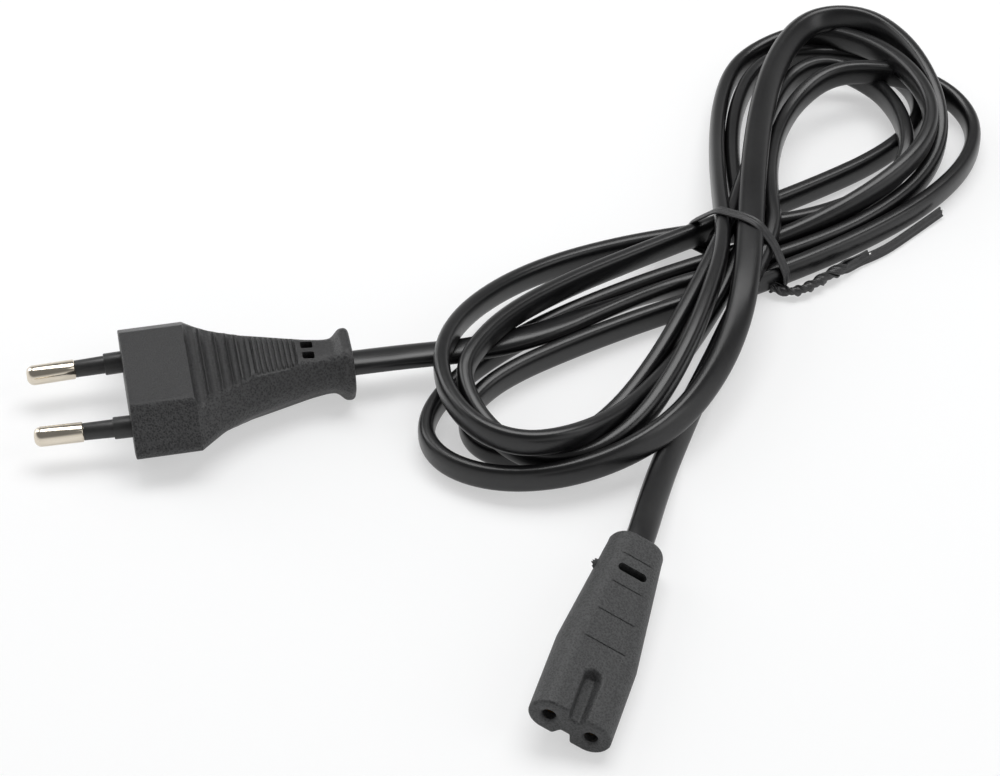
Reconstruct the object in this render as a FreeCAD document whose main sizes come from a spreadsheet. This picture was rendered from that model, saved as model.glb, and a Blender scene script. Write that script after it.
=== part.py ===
import FreeCAD, Part
import Sketcher
import math
import os

# A mains lead: a two-hole connector, a flat cord tied in a figure-eight hank, and a two-pin plug.
# Millimetres. The connector's long axis runs along +Y, its nose faces -Y and the floor is z = 0.

V = FreeCAD.Vector
Rot = FreeCAD.Rotation
Place = FreeCAD.Placement
doc = FreeCAD.newDocument("mains_lead")
sheet = doc.addObject("Spreadsheet::Sheet", "Sizes")

SIZES = [
    # connector, in its own frame: x across, y from the nose to the rear, z from its mid-plane
    ("conn_length", 46.0, "nose face to rear face"),
    ("conn_half_width", 8.15, "half width at the nose"),
    ("conn_round", 3.95, "half thickness, and the radius of both sides"),
    ("conn_side_flat", 0.05, "half height of the flat strip left along each side"),
    ("conn_straight", 17.5, "length with parallel sides"),
    ("conn_tail", 2.2, "parallel length at the rear, where the edge is bevelled"),
    ("conn_rear_half_width", 5.57, "half width at the rear face"),
    ("conn_rear_bevel", 1.1, "bevel of the rear edge"),
    ("conn_lean", 25.0, "degrees that the connector leans on its side"),
    ("hole_offset", 4.3, "each hole from the centre line"),
    ("hole_radius", 1.3, "hole in the nose"),
    ("hole_rim", 0.35, "bevel round each hole"),
    ("groove_length", 11.5, "key groove from the nose"),
    ("groove_half_top", 2.05, "half width of the groove at the surface"),
    ("groove_half_floor", 0.75, "half width of the groove's floor"),
    ("groove_depth", 1.9, "groove below the surface"),
    ("groove_overrun", 3.0, "how far the cut for the groove starts ahead of the nose"),
    ("line_width", 0.16, "engraved line"),
    ("line_depth", 0.15, "engraved line"),
    ("line_one_y", 17.5, "first engraved line"),
    ("line_one_half", 4.45, "half length"),
    ("line_two_y", 24.7, "second engraved line"),
    ("line_two_half", 4.0, "half length"),
    ("line_three_y", 32.1, "third engraved line"),
    ("line_three_half", 3.55, "half length"),
    ("line_four_y", 39.5, "fourth engraved line"),
    ("line_four_half", 3.05, "half length"),
    ("slot_y", 36.1, "centre of the cord slot"),
    ("slot_half_length", 3.0, "half length of the slot, across the connector"),
    ("slot_radius", 0.95, "half width of the slot"),
    ("insert_length", 13.0, "contact holder, level with the contacts in front"),
    ("insert_tube_radius", 2.7, "holder round each contact"),
    ("insert_web", 2.0, "thickness of the web between the contacts"),
    ("contact_front", 2.0, "contact from the nose"),
    ("contact_length", 11.0, "rolled part of the contact"),
    ("contact_outer", 1.7, "contact outside radius"),
    ("contact_inner", 1.3, "contact bore, for a pin of 2.36 mm"),
    ("crimp_length", 4.5, "crimped part of the contact"),
    ("crimp_start", 1.0, "solid wall between the bore and the strands"),
    # flat cord and its conductors
    ("cord_wide", 5.7, "cord section, wide way"),
    ("cord_thin", 3.4, "cord section, thin way"),
    ("core_radius", 1.05, "insulated conductor"),
    ("strand_radius", 0.5, "bare copper"),
    ("core_offset", 1.35, "conductor from the cord's centre line"),
    ("conn_cord_start", 30.0, "end of the cord's jacket inside the connector, from the nose"),
    ("conn_lead_end", 118.0, "end of the straight cord inside the hank, from the nose"),
    # plug, in its own frame: x from the pin face to the cord, y across, z from its mid-plane
    ("plug_x", -107.07, "middle of the pin face"),
    ("plug_y", 31.84, "middle of the pin face"),
    ("plug_turn", 28.31, "degrees from +X to the plug's long axis"),
    ("plug_half_height", 6.8, "half the height of the block"),
    ("block_length", 12.9, "block with parallel sides"),
    ("block_half_top", 10.5, "half width of the flat top"),
    ("block_half_rim", 18.0, "half width at the parting rim"),
    ("block_rim", 0.75, "half height of the parting rim"),
    ("block_front_bevel", 0.6, "bevel of the pin face's edge"),
    ("fine_start", 25.5, "first fine groove, from the pin face"),
    ("fine_pitch", 1.02, "from one fine groove to the next"),
    ("fine_half", 0.34, "half width of a fine groove"),
    ("fine_floor", 5.65, "height of the first fine groove's floor"),
    ("fine_drop", 0.085, "how much lower each next floor is"),
    ("fine_tall", 1.4, "height of the cut for a fine groove"),
    ("collar_x", 43.5, "start of the collar's rim"),
    ("collar_length", 1.5, "length of the collar's rim"),
    ("window_x", 36.3, "centre of the two windows"),
    ("window_half_x", 0.9, "half length of a window along the plug"),
    ("window_half_y", 0.85, "half width of a window"),
    ("window_offset", 1.5, "window centre from the centre line"),
    ("pin_base_offset", 9.3, "pin from the centre line at the pin face"),
    ("pin_tip_offset", 8.75, "pin from the centre line at its tip"),
    ("pin_length", 19.0, "pin outside the plug"),
    ("pin_radius", 2.0, "bare end of the pin"),
    ("pin_bare", 9.5, "length of the bare end"),
    ("pin_core_radius", 1.5, "pin under its sleeve and inside the plug"),
    ("pin_inside", 12.0, "pin inside the plug"),
    ("pin_tip_bevel", 1.2, "bevel of the tip"),
    ("sleeve_radius", 1.8, "sleeve"),
    ("sleeve_root_radius", 2.2, "thicker root of the sleeve"),
    ("sleeve_root", 3.5, "length of the thicker root"),
    ("root_gap", 0.3, "gap round each root in the pin face"),
    ("root_gap_depth", 0.3, "depth of that gap"),
    ("bridge_front", 1.2, "pin holder behind the pin face"),
    ("bridge_length", 7.6, "pin holder"),
    ("bridge_half_width", 13.4, "pin holder"),
    ("bridge_half_height", 3.6, "pin holder"),
    ("plug_cord_start", 35.0, "end of the cord's jacket inside the plug, from the pin face"),
    ("pin_crimp", 2.4, "length of the strands inside the pin's end"),
    ("plug_lead_end", 72.0, "end of the straight cord inside the hank, from the pin face"),
    # hank
    ("hank_height", 7.4, "height of the two lobes"),
    ("hank_edge", 1.8, "bevel of the lobes' edges"),
    ("knot_x", -2.0, "middle of the crossing"),
    ("knot_y", 112.0, "middle of the crossing"),
    ("knot_height", 14.2, "height of the crossing"),
    ("knot_along", 21.0, "half length of the crossing's mound"),
    ("knot_across", 11.5, "half width of the crossing's mound"),
    ("knot_corner", 8.0, "bevel of the mound's corners"),
    ("knot_edge", 4.5, "bevel of the mound's top edge"),
    ("knot_turn", 74.0, "degrees from +X to the mound's length"),
    # tie
    ("tie_width", 2.3, "flat tie"),
    ("tie_thick", 0.8, "flat tie"),
    ("tie_wire_half", 0.2, "half thickness of the steel wire inside the tie"),
    ("tie_turn", -20.0, "degrees from +X to the loop's width"),
    ("tie_half_width", 9.2, "inside of the loop"),
    ("tie_low", 0.85, "inside of the loop, bottom"),
    ("tie_high", 13.2, "inside of the loop, top"),
    ("tie_corner", 3.2, "bevel of the loop's corners, inside"),
]

# Sections of the plug behind the block: x, half width of the top panel, half width at the rim,
# half height, half height of the rim.
NECK = [
    (12.9, 10.5, 18.0, 6.8, 0.75),
    (18.0, 7.9, 13.3, 6.5, 1.05),
    (24.0, 5.9, 9.6, 6.2, 1.35),
    (30.5, 4.5, 7.3, 5.9, 1.35),
    (36.0, 3.55, 5.75, 5.35, 1.1),
    (39.5, 3.3, 5.3, 4.95, 1.0),
]
FLARE = [
    (39.5, 3.3, 5.3, 4.95, 1.0),
    (41.2, 3.6, 5.7, 5.2, 1.05),
    (43.5, 4.5, 7.0, 6.4, 1.3),
]
# Grip grooves across the plug: x, height of the floor, half width.
GROOVES = [
    (14.1, 5.45, 1.25),
    (17.1, 5.4, 1.1),
    (19.65, 5.4, 0.9),
    (21.65, 5.4, 0.75),
    (23.6, 5.4, 0.7),
]
# Fine grooves behind them: first place, pitch, number, half width and floor of a V.
FINE_COUNT = 9

for label, rows in (("neck", NECK), ("flare", FLARE)):
    for i, row in enumerate(rows):
        for word, number in zip(("place", "top", "rim", "high", "edge"), row):
            SIZES.append(("%s_%s_no%d" % (label, word, i), number, "plug section"))
for i, row in enumerate(GROOVES):
    for word, number in zip(("place", "floor", "half"), row):
        SIZES.append(("grip_%s_no%d" % (word, i), number, "groove across the plug"))

for i, (alias, number, note) in enumerate(SIZES, start=1):
    sheet.set("A%d" % i, alias)
    sheet.set("B%d" % i, str(number))
    sheet.setAlias("B%d" % i, alias)
    sheet.set("C%d" % i, note)
doc.recompute()


def size(alias):
    return float(sheet.get(alias))


def bind(thing, path, formula):
    """Tie one property or sketch size to cells of the sheet: words in the formula become cells."""
    thing.setExpression(path, formula)


def plane_of(body, role):
    for feature in body.Origin.OriginFeatures:
        if feature.Role == role:
            return feature


def new_body(name, place):
    body = doc.addObject("PartDesign::Body", name)
    body.Placement = place
    return body


def new_sketch(body, name, role, offset=None):
    sketch = body.newObject("Sketcher::SketchObject", name)
    sketch.AttachmentSupport = [(plane_of(body, role), "")]
    sketch.MapMode = "FlatFace"
    if offset:
        bind(sketch, "AttachmentOffset.Base.z", offset)
    return sketch


def limit(sketch, kind, args, formula):
    """Add a sketch size that follows the sheet."""
    index = sketch.addConstraint(Sketcher.Constraint(kind, *args))
    bind(sketch, "Constraints[%d]" % index, formula)


def circle(sketch, x, y, radius, formulas):
    """Circle with its centre and radius tied to the sheet. A centre at 0 is held on the axis."""
    g = sketch.addGeometry(Part.Circle(V(x, y, 0), V(0, 0, 1), radius), False)
    fx, fy, fr = formulas
    if fx is None and fy is None:
        sketch.addConstraint(Sketcher.Constraint("Coincident", g, 3, -1, 1))
    elif fy is None:
        sketch.addConstraint(Sketcher.Constraint("PointOnObject", g, 3, -1))
        limit(sketch, "DistanceX", (-1, 1, g, 3, x), fx)
    else:
        limit(sketch, "DistanceX", (-1, 1, g, 3, x), fx)
        limit(sketch, "DistanceY", (-1, 1, g, 3, y), fy)
    limit(sketch, "Radius", (g, radius), fr)
    return g


def racetrack(sketch, half_width, radius, f_centre, f_radius):
    """Two half rounds joined by two straight lines, centred on the origin."""
    c = half_width - radius
    arc_right = Part.ArcOfCircle(Part.Circle(V(c, 0, 0), V(0, 0, 1), radius), -math.pi / 2, math.pi / 2)
    arc_left = Part.ArcOfCircle(Part.Circle(V(-c, 0, 0), V(0, 0, 1), radius), math.pi / 2, 1.5 * math.pi)
    right = sketch.addGeometry(arc_right, False)
    top = sketch.addGeometry(Part.LineSegment(V(c, radius, 0), V(-c, radius, 0)), False)
    left = sketch.addGeometry(arc_left, False)
    low = sketch.addGeometry(Part.LineSegment(V(-c, -radius, 0), V(c, -radius, 0)), False)
    sketch.addConstraint(Sketcher.Constraint("Tangent", right, 2, top, 1))
    sketch.addConstraint(Sketcher.Constraint("Tangent", top, 2, left, 1))
    sketch.addConstraint(Sketcher.Constraint("Tangent", left, 2, low, 1))
    sketch.addConstraint(Sketcher.Constraint("Tangent", low, 2, right, 1))
    sketch.addConstraint(Sketcher.Constraint("PointOnObject", right, 3, -1))
    sketch.addConstraint(Sketcher.Constraint("Symmetric", right, 3, left, 3, -1, 1))
    limit(sketch, "Radius", (right, radius), f_radius)
    limit(sketch, "DistanceX", (-1, 1, right, 3, c), f_centre)


def polygon(sketch, points, formulas):
    """Closed outline. Each corner's x and y follow the sheet, or None keeps that one on its axis."""
    n = len(points)
    first = sketch.GeometryCount
    for i in range(n):
        a = points[i]
        b = points[(i + 1) % n]
        sketch.addGeometry(Part.LineSegment(V(a[0], a[1], 0), V(b[0], b[1], 0)), False)
    for i in range(n):
        after = first + (i + 1) % n
        sketch.addConstraint(Sketcher.Constraint("Coincident", first + i, 2, after, 1))
    for i, (fx, fy) in enumerate(formulas):
        x, y = points[i]
        limit(sketch, "DistanceX", (-1, 1, first + i, 1, x), fx)
        limit(sketch, "DistanceY", (-1, 1, first + i, 1, y), fy)


def octagon(sketch, top, rim, high, edge, f_top, f_rim, f_high, f_edge):
    """Plug section: flat top and underside, sloped facets, upright rims."""
    corners = [(top, high), (rim, edge), (rim, -edge), (top, -high)]
    corners += [(-x, y) for x, y in reversed(corners)]
    for i in range(8):
        a = corners[i]
        b = corners[(i + 1) % 8]
        sketch.addGeometry(Part.LineSegment(V(a[0], a[1], 0), V(b[0], b[1], 0)), False)
    for i in range(8):
        sketch.addConstraint(Sketcher.Constraint("Coincident", i, 2, (i + 1) % 8, 1))
    for right, left in ((0, 7), (1, 6), (2, 5), (3, 4)):
        sketch.addConstraint(Sketcher.Constraint("Symmetric", right, 1, left, 1, -2))
    for up, down in ((0, 3), (1, 2)):
        sketch.addConstraint(Sketcher.Constraint("Symmetric", up, 1, down, 1, -1))
    limit(sketch, "DistanceX", (-1, 1, 0, 1, top), f_top)
    limit(sketch, "DistanceY", (-1, 1, 0, 1, high), f_high)
    limit(sketch, "DistanceX", (-1, 1, 1, 1, rim), f_rim)
    limit(sketch, "DistanceY", (-1, 1, 1, 1, edge), f_edge)


def pad(body, name, sketch, length, back=False):
    feature = body.newObject("PartDesign::Pad", name)
    feature.Profile = sketch
    feature.Reversed = back
    bind(feature, "Length", length)
    return feature


def pocket(body, name, sketch, length=None, back=False, both=False):
    feature = body.newObject("PartDesign::Pocket", name)
    feature.Profile = sketch
    feature.Reversed = back
    if length:
        bind(feature, "Length", length)
    else:
        feature.Type = "ThroughAll"
    if both:
        feature.Midplane = True
    return feature


def edges_where(shape, test):
    return ["Edge%d" % (i + 1) for i, edge in enumerate(shape.Edges) if test(edge)]


def dress(body, kind, name, base, names, formula):
    """Fillet or chamfer on named edges."""
    feature = body.newObject("PartDesign::" + kind, name)
    feature.Base = (base, names)
    bind(feature, "Radius" if kind == "Fillet" else "Size", formula)
    doc.recompute()
    return feature


def mirror_flat(body, name, features):
    """Mirror features in the body's own XY plane, from the top to the underside."""
    feature = body.newObject("PartDesign::Mirrored", name)
    feature.Originals = features
    feature.MirrorPlane = (plane_of(body, "XY_Plane"), [""])
    body.Tip = feature
    doc.recompute()
    return feature


# The two local frames.
lean = size("conn_lean")
side_round = size("conn_round") - size("conn_side_flat")
rise = side_round + size("conn_side_flat") * math.cos(math.radians(lean))
rise += (size("conn_half_width") - side_round) * math.sin(math.radians(lean))
CONN = Place(V(0, -size("conn_length") / 2, rise), Rot(V(0, 1, 0), lean))
PLUG = Place(V(size("plug_x"), size("plug_y"), size("plug_half_height") + 0.05),
             Rot(V(0, 0, 1), size("plug_turn")))

# Connector moulding, outside shape.
conn = new_body("connector_outer", CONN)
plan = new_sketch(conn, "plan_outline", "XY_Plane")
wide = size("conn_half_width")
narrow = size("conn_rear_half_width")
length = size("conn_length")
bend_y = size("conn_straight")
tail_y = length - size("conn_tail")
corners = [(wide, 0), (wide, bend_y), (narrow, tail_y), (narrow, length)]
formulas = [("Sizes.conn_half_width", None), ("Sizes.conn_half_width", "Sizes.conn_straight"),
            ("Sizes.conn_rear_half_width", "Sizes.conn_length - Sizes.conn_tail"),
            ("Sizes.conn_rear_half_width", "Sizes.conn_length")]
corners += [(-x, y) for x, y in reversed(corners)]
formulas += list(reversed(formulas))
for i in range(8):
    a = corners[i]
    b = corners[(i + 1) % 8]
    plan.addGeometry(Part.LineSegment(V(a[0], a[1], 0), V(b[0], b[1], 0)), False)
for i in range(8):
    plan.addConstraint(Sketcher.Constraint("Coincident", i, 2, (i + 1) % 8, 1))
plan.addConstraint(Sketcher.Constraint("PointOnObject", 0, 1, -1))
for i in range(4):
    plan.addConstraint(Sketcher.Constraint("Symmetric", i, 1, 7 - i, 1, -2))
for i in range(4):
    limit(plan, "DistanceX", (-1, 1, i, 1, corners[i][0]), formulas[i][0])
    if formulas[i][1]:
        limit(plan, "DistanceY", (-1, 1, i, 1, corners[i][1]), formulas[i][1])
doc.recompute()
shell = pad(conn, "flat_shape", plan, "Sizes.conn_round * 2")
shell.Midplane = True
doc.recompute()
side_edges = edges_where(shell.Shape, lambda e: abs(e.Vertexes[0].Point.y - e.Vertexes[-1].Point.y) > 1
                         and abs(e.Vertexes[0].Point.z - e.Vertexes[-1].Point.z) < 0.01)
sides = dress(conn, "Fillet", "side_rounding", shell, side_edges, "Sizes.conn_round - Sizes.conn_side_flat")
rear_edges = edges_where(sides.Shape, lambda e: all(abs(v.Point.y - length) < 0.01 for v in e.Vertexes))
dress(conn, "Chamfer", "rear_bevel", sides, rear_edges, "Sizes.conn_rear_bevel")

# Key groove on both faces: narrower at its floor, with a rounded end.
mouth = new_sketch(conn, "groove_mouth", "XY_Plane", "Sizes.conn_round")
half = size("groove_half_top")
start = -size("groove_overrun")
bend = size("groove_length") - half
mouth.addGeometry(Part.LineSegment(V(-half, start, 0), V(half, start, 0)), False)
mouth.addGeometry(Part.LineSegment(V(half, start, 0), V(half, bend, 0)), False)
arc = Part.ArcOfCircle(Part.Circle(V(0, bend, 0), V(0, 0, 1), half), 0, math.pi)
mouth.addGeometry(arc, False)
mouth.addGeometry(Part.LineSegment(V(-half, bend, 0), V(-half, start, 0)), False)
mouth.addConstraint(Sketcher.Constraint("Coincident", 0, 2, 1, 1))
mouth.addConstraint(Sketcher.Constraint("Tangent", 1, 2, 2, 1))
mouth.addConstraint(Sketcher.Constraint("Tangent", 2, 2, 3, 1))
mouth.addConstraint(Sketcher.Constraint("Coincident", 3, 2, 0, 1))
mouth.addConstraint(Sketcher.Constraint("Vertical", 1))
mouth.addConstraint(Sketcher.Constraint("Horizontal", 0))
mouth.addConstraint(Sketcher.Constraint("PointOnObject", 2, 3, -2))
limit(mouth, "Radius", (2, half), "Sizes.groove_half_top")
limit(mouth, "DistanceY", (-1, 1, 2, 3, bend), "Sizes.groove_length - Sizes.groove_half_top")
limit(mouth, "DistanceY", (0, 1, -1, 1, -start), "Sizes.groove_overrun")
doc.recompute()
groove = pocket(conn, "key_groove", mouth, "Sizes.groove_depth")
bind(groove, "TaperAngle", "-atan((Sizes.groove_half_top - Sizes.groove_half_floor) / Sizes.groove_depth)")
doc.recompute()
both_grooves = mirror_flat(conn, "key_grooves", [groove])

# Engraved lines on the top face.
lines = new_sketch(conn, "line_outlines", "XY_Plane", "Sizes.conn_round")
thin = size("line_width") / 2
for word in ("one", "two", "three", "four"):
    y = size("line_%s_y" % word)
    half = size("line_%s_half" % word)
    f_half = "Sizes.line_%s_half" % word
    f_low = "Sizes.line_%s_y - Sizes.line_width / 2" % word
    f_high = "Sizes.line_%s_y + Sizes.line_width / 2" % word
    first = lines.GeometryCount
    corners = [(-half, y - thin), (half, y - thin), (half, y + thin), (-half, y + thin)]
    for i in range(4):
        a = corners[i]
        b = corners[(i + 1) % 4]
        lines.addGeometry(Part.LineSegment(V(a[0], a[1], 0), V(b[0], b[1], 0)), False)
    for i in range(4):
        lines.addConstraint(Sketcher.Constraint("Coincident", first + i, 2, first + (i + 1) % 4, 1))
    lines.addConstraint(Sketcher.Constraint("Horizontal", first + 2))
    lines.addConstraint(Sketcher.Constraint("Vertical", first + 1))
    lines.addConstraint(Sketcher.Constraint("Vertical", first + 3))
    lines.addConstraint(Sketcher.Constraint("Symmetric", first, 1, first, 2, -2))
    limit(lines, "DistanceX", (-1, 1, first, 2, half), f_half)
    limit(lines, "DistanceY", (-1, 1, first, 1, y - thin), f_low)
    limit(lines, "DistanceY", (-1, 1, first + 2, 1, y + thin), f_high)
doc.recompute()
engraved = pocket(conn, "engraved_lines", lines, "Sizes.line_depth")

# Slot down to the cord, on the top and on the underside.
slot = new_sketch(conn, "slot_outline", "XY_Plane", "Sizes.conn_round")
sx = size("slot_half_length") - size("slot_radius")
sy = size("slot_y")
sr = size("slot_radius")
arc_right = Part.ArcOfCircle(Part.Circle(V(sx, sy, 0), V(0, 0, 1), sr), -math.pi / 2, math.pi / 2)
arc_left = Part.ArcOfCircle(Part.Circle(V(-sx, sy, 0), V(0, 0, 1), sr), math.pi / 2, 1.5 * math.pi)
slot.addGeometry(arc_right, False)
slot.addGeometry(Part.LineSegment(V(sx, sy + sr, 0), V(-sx, sy + sr, 0)), False)
slot.addGeometry(arc_left, False)
slot.addGeometry(Part.LineSegment(V(-sx, sy - sr, 0), V(sx, sy - sr, 0)), False)
for a, b in ((0, 1), (1, 2), (2, 3), (3, 0)):
    slot.addConstraint(Sketcher.Constraint("Tangent", a, 2, b, 1))
slot.addConstraint(Sketcher.Constraint("Symmetric", 0, 3, 2, 3, -2))
limit(slot, "Radius", (0, sr), "Sizes.slot_radius")
limit(slot, "DistanceX", (-1, 1, 0, 3, sx), "Sizes.slot_half_length - Sizes.slot_radius")
limit(slot, "DistanceY", (-1, 1, 0, 3, sy), "Sizes.slot_y")
doc.recompute()
slot_cut = pocket(conn, "cord_slot", slot, "Sizes.conn_round - Sizes.cord_thin / 2")
doc.recompute()
slot_pair = mirror_flat(conn, "cord_slots", [slot_cut])

# Two holes in the nose, bevelled at the rim, as long as the bores of the contacts.
holes = new_sketch(conn, "hole_outlines", "XZ_Plane")
off = size("hole_offset")
for side in (1, -1):
    circle(holes, side * off, 0, size("hole_radius"),
           ("Sizes.hole_offset * %d" % side, None, "Sizes.hole_radius"))
doc.recompute()
drilled = pocket(conn, "pin_holes", holes, "Sizes.contact_front", back=False)
doc.recompute()
rim_edges = edges_where(drilled.Shape, lambda e: e.Curve.TypeId == "Part::GeomCircle"
                        and abs(e.Curve.Radius - size("hole_radius")) < 0.01
                        and abs(e.Curve.Center.y) < 0.01)
bevelled = dress(conn, "Chamfer", "hole_rims", drilled, rim_edges, "Sizes.hole_rim")
conn.Tip = bevelled


# Stepped rods along x: used for contacts, pins and sleeves.
def stepped_rod(name, place, steps, bores=()):
    """steps and bores: start, length, radius, each a formula of the sheet."""
    body = new_body(name, place)
    for i, (start, run, radius) in enumerate(steps):
        sketch = new_sketch(body, "%s_ring_%d" % (name, i), "YZ_Plane", start)
        circle(sketch, 0, 0, 1.0, (None, None, radius))
        doc.recompute()
        pad(body, "%s_step_%d" % (name, i), sketch, run)
    for i, (start, run, radius) in enumerate(bores):
        sketch = new_sketch(body, "%s_bore_ring_%d" % (name, i), "YZ_Plane", start)
        circle(sketch, 0, 0, 0.5, (None, None, radius))
        doc.recompute()
        pocket(body, "%s_bore_%d" % (name, i), sketch, run, back=True)
    doc.recompute()
    return body


def solid_feature(name, shape):
    feature = doc.addObject("Part::Feature", name)
    feature.Shape = shape
    return feature


def fuse_all(shapes):
    shape = shapes[0]
    for other in shapes[1:]:
        shape = shape.fuse(other)
    return shape.removeSplitter()


# Routes: straight runs joined by tangent arcs.
SHARE = 0.45


def route(name, points, share=SHARE):
    """Wire through the corner points. Each corner is an arc, and the radii are printed."""
    points = [V(*p) for p in points]
    edges = []
    radii = []
    here = points[0]
    for a, b, c in zip(points, points[1:], points[2:]):
        d1 = (b - a).normalize()
        d2 = (c - b).normalize()
        turn = d1.getAngle(d2)
        tangent = share * min((b - a).Length, (c - b).Length)
        radius = tangent / math.tan(turn / 2)
        radii.append(round(radius, 1))
        start = b - d1 * tangent
        end = b + d2 * tangent
        inward = (d2 - d1).normalize()
        centre = b + inward * (radius / math.cos(turn / 2))
        middle = centre - inward * radius
        edges.append(Part.LineSegment(here, start).toShape())
        edges.append(Part.Arc(start, middle, end).toShape())
        here = end
    edges.append(Part.LineSegment(here, points[-1]).toShape())
    wire = Part.Wire(edges)
    print(name, "length", round(wire.Length, 1), "radii", radii)
    return wire


def oval_wire(at, wide, thin, half_wide, half_thin):
    """Racetrack outline at a point: wide and thin are unit vectors across the cord."""
    c = half_wide - half_thin
    p = [at + wide * c + thin * half_thin, at + wide * half_wide, at + wide * c - thin * half_thin,
         at - wide * c - thin * half_thin, at - wide * half_wide, at - wide * c + thin * half_thin]
    if c < 0.01:
        return Part.Wire([Part.Circle(at, wide.cross(thin), half_wide).toShape()])
    return Part.Wire([Part.Arc(p[0], p[1], p[2]).toShape(), Part.LineSegment(p[2], p[3]).toShape(),
                      Part.Arc(p[3], p[4], p[5]).toShape(), Part.LineSegment(p[5], p[0]).toShape()])


def sweep(wire, up, half_wide, half_thin, standing=False):
    """Cord along a wire, its broad face towards up, or its edge towards up where it stands."""
    start = wire.Vertexes[0].Point
    ahead = wire.Edges[0].tangentAt(wire.Edges[0].FirstParameter).normalize()
    side = up.cross(ahead).normalize()
    rise_way = ahead.cross(side).normalize()
    if standing:
        profile = oval_wire(start, rise_way, side, half_wide, half_thin)
    else:
        profile = oval_wire(start, side, rise_way, half_wide, half_thin)
    return wire.makePipe(Part.Face(profile))


def rod(a, b, radius):
    """Round rod from one point to another."""
    a = V(*a)
    b = V(*b)
    return Part.makeCylinder(radius, (b - a).Length, a, b - a)


def clipped(shape, low, high):
    """Part of a shape between two corners of a box."""
    return shape.common(Part.makeBox(high[0] - low[0], high[1] - low[1], high[2] - low[2], V(*low)))


def world(place, points):
    return [tuple(place.multVec(V(*p))) for p in points]


UP = V(0, 0, 1)
LEAN_UP = CONN.Rotation.multVec(UP)
wide_half = size("cord_wide") / 2
thin_half = size("cord_thin") / 2

# Inside the connector: contacts, their holder, the two cores and their strands.
front_y = size("contact_front")
bore_end = front_y + size("contact_length")
crimp_end = bore_end + size("crimp_length")
sockets = []
for word, side in (("left", -1), ("right", 1)):
    place = CONN.multiply(Place(V(side * off, 0, 0), Rot(V(0, 0, 1), 90)))
    body = stepped_rod("contact_socket_" + word, place,
                       [("Sizes.contact_front", "Sizes.contact_length + Sizes.crimp_length",
                         "Sizes.contact_outer")],
                       [("Sizes.contact_front", "Sizes.contact_length", "Sizes.contact_inner"),
                        ("Sizes.contact_front + Sizes.contact_length + Sizes.crimp_start",
                         "Sizes.crimp_length - Sizes.crimp_start", "Sizes.strand_radius")])
    sockets.append(body)

tubes = []
for side in (-1, 1):
    tubes.append(Part.makeCylinder(size("insert_tube_radius"), size("insert_length"),
                                   V(side * off, front_y, 0), V(0, 1, 0)))
web = Part.makeBox(2 * off, size("insert_length"), size("insert_web"),
                   V(-off, front_y, -size("insert_web") / 2))
holder = fuse_all(tubes + [web])
for side in (-1, 1):
    seat = Part.makeCylinder(size("contact_outer"), size("insert_length"),
                             V(side * off, front_y, 0), V(0, 1, 0))
    holder = holder.cut(seat)
insert = solid_feature("connector_insert", holder)
insert.Placement = CONN

start_y = crimp_end
cord_y = size("conn_cord_start")
gap = size("core_offset")
conn_cores = []
conn_strands = []
for word, side in (("left", -1), ("right", 1)):
    near = V(side * off, start_y, 0)
    far = V(side * gap, cord_y, 0)
    strand = solid_feature("connector_strands_" + word, rod(V(side * off, bore_end + size("crimp_start"), 0),
                                                            near, size("strand_radius")))
    strand.Placement = CONN
    core_rod = rod(near * 2 - far, far * 2 - near, size("core_radius"))
    core = solid_feature("connector_core_" + word, clipped(core_rod, (-20, start_y, -5), (20, cord_y, 5)))
    core.Placement = CONN
    conn_cores.append(core)
    conn_strands.append(strand)

# Plug moulding, outside shape.
plug = new_body("plug_outer", PLUG)
block_outline = new_sketch(plug, "block_outline", "YZ_Plane")
octagon(block_outline, size("block_half_top"), size("block_half_rim"), size("plug_half_height"),
        size("block_rim"), "Sizes.block_half_top", "Sizes.block_half_rim", "Sizes.plug_half_height",
        "Sizes.block_rim")
doc.recompute()
block = pad(plug, "block", block_outline, "Sizes.block_length")
doc.recompute()
last = block
for label, rows in (("neck", NECK), ("flare", FLARE)):
    sections = []
    for i, (x, top, rim, high, edge) in enumerate(rows):
        sketch = new_sketch(plug, "%s_section_%d" % (label, i), "YZ_Plane", "Sizes.%s_place_no%d" % (label, i))
        octagon(sketch, top, rim, high, edge, "Sizes.%s_top_no%d" % (label, i),
                "Sizes.%s_rim_no%d" % (label, i), "Sizes.%s_high_no%d" % (label, i),
                "Sizes.%s_edge_no%d" % (label, i))
        sections.append(sketch)
    doc.recompute()
    last = plug.newObject("PartDesign::AdditiveLoft", label)
    last.Profile = sections[0]
    last.Sections = sections[1:]
    last.Ruled = True
    doc.recompute()
rim_outline = new_sketch(plug, "collar_outline", "YZ_Plane", "Sizes.collar_x")
octagon(rim_outline, *FLARE[-1][1:], "Sizes.flare_top_no2", "Sizes.flare_rim_no2", "Sizes.flare_high_no2",
        "Sizes.flare_edge_no2")
doc.recompute()
collar = pad(plug, "collar", rim_outline, "Sizes.collar_length")
doc.recompute()
face_edges = edges_where(collar.Shape, lambda e: all(abs(v.Point.x) < 0.01 for v in e.Vertexes))
dress(plug, "Chamfer", "face_bevel", collar, face_edges, "Sizes.block_front_bevel")

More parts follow.
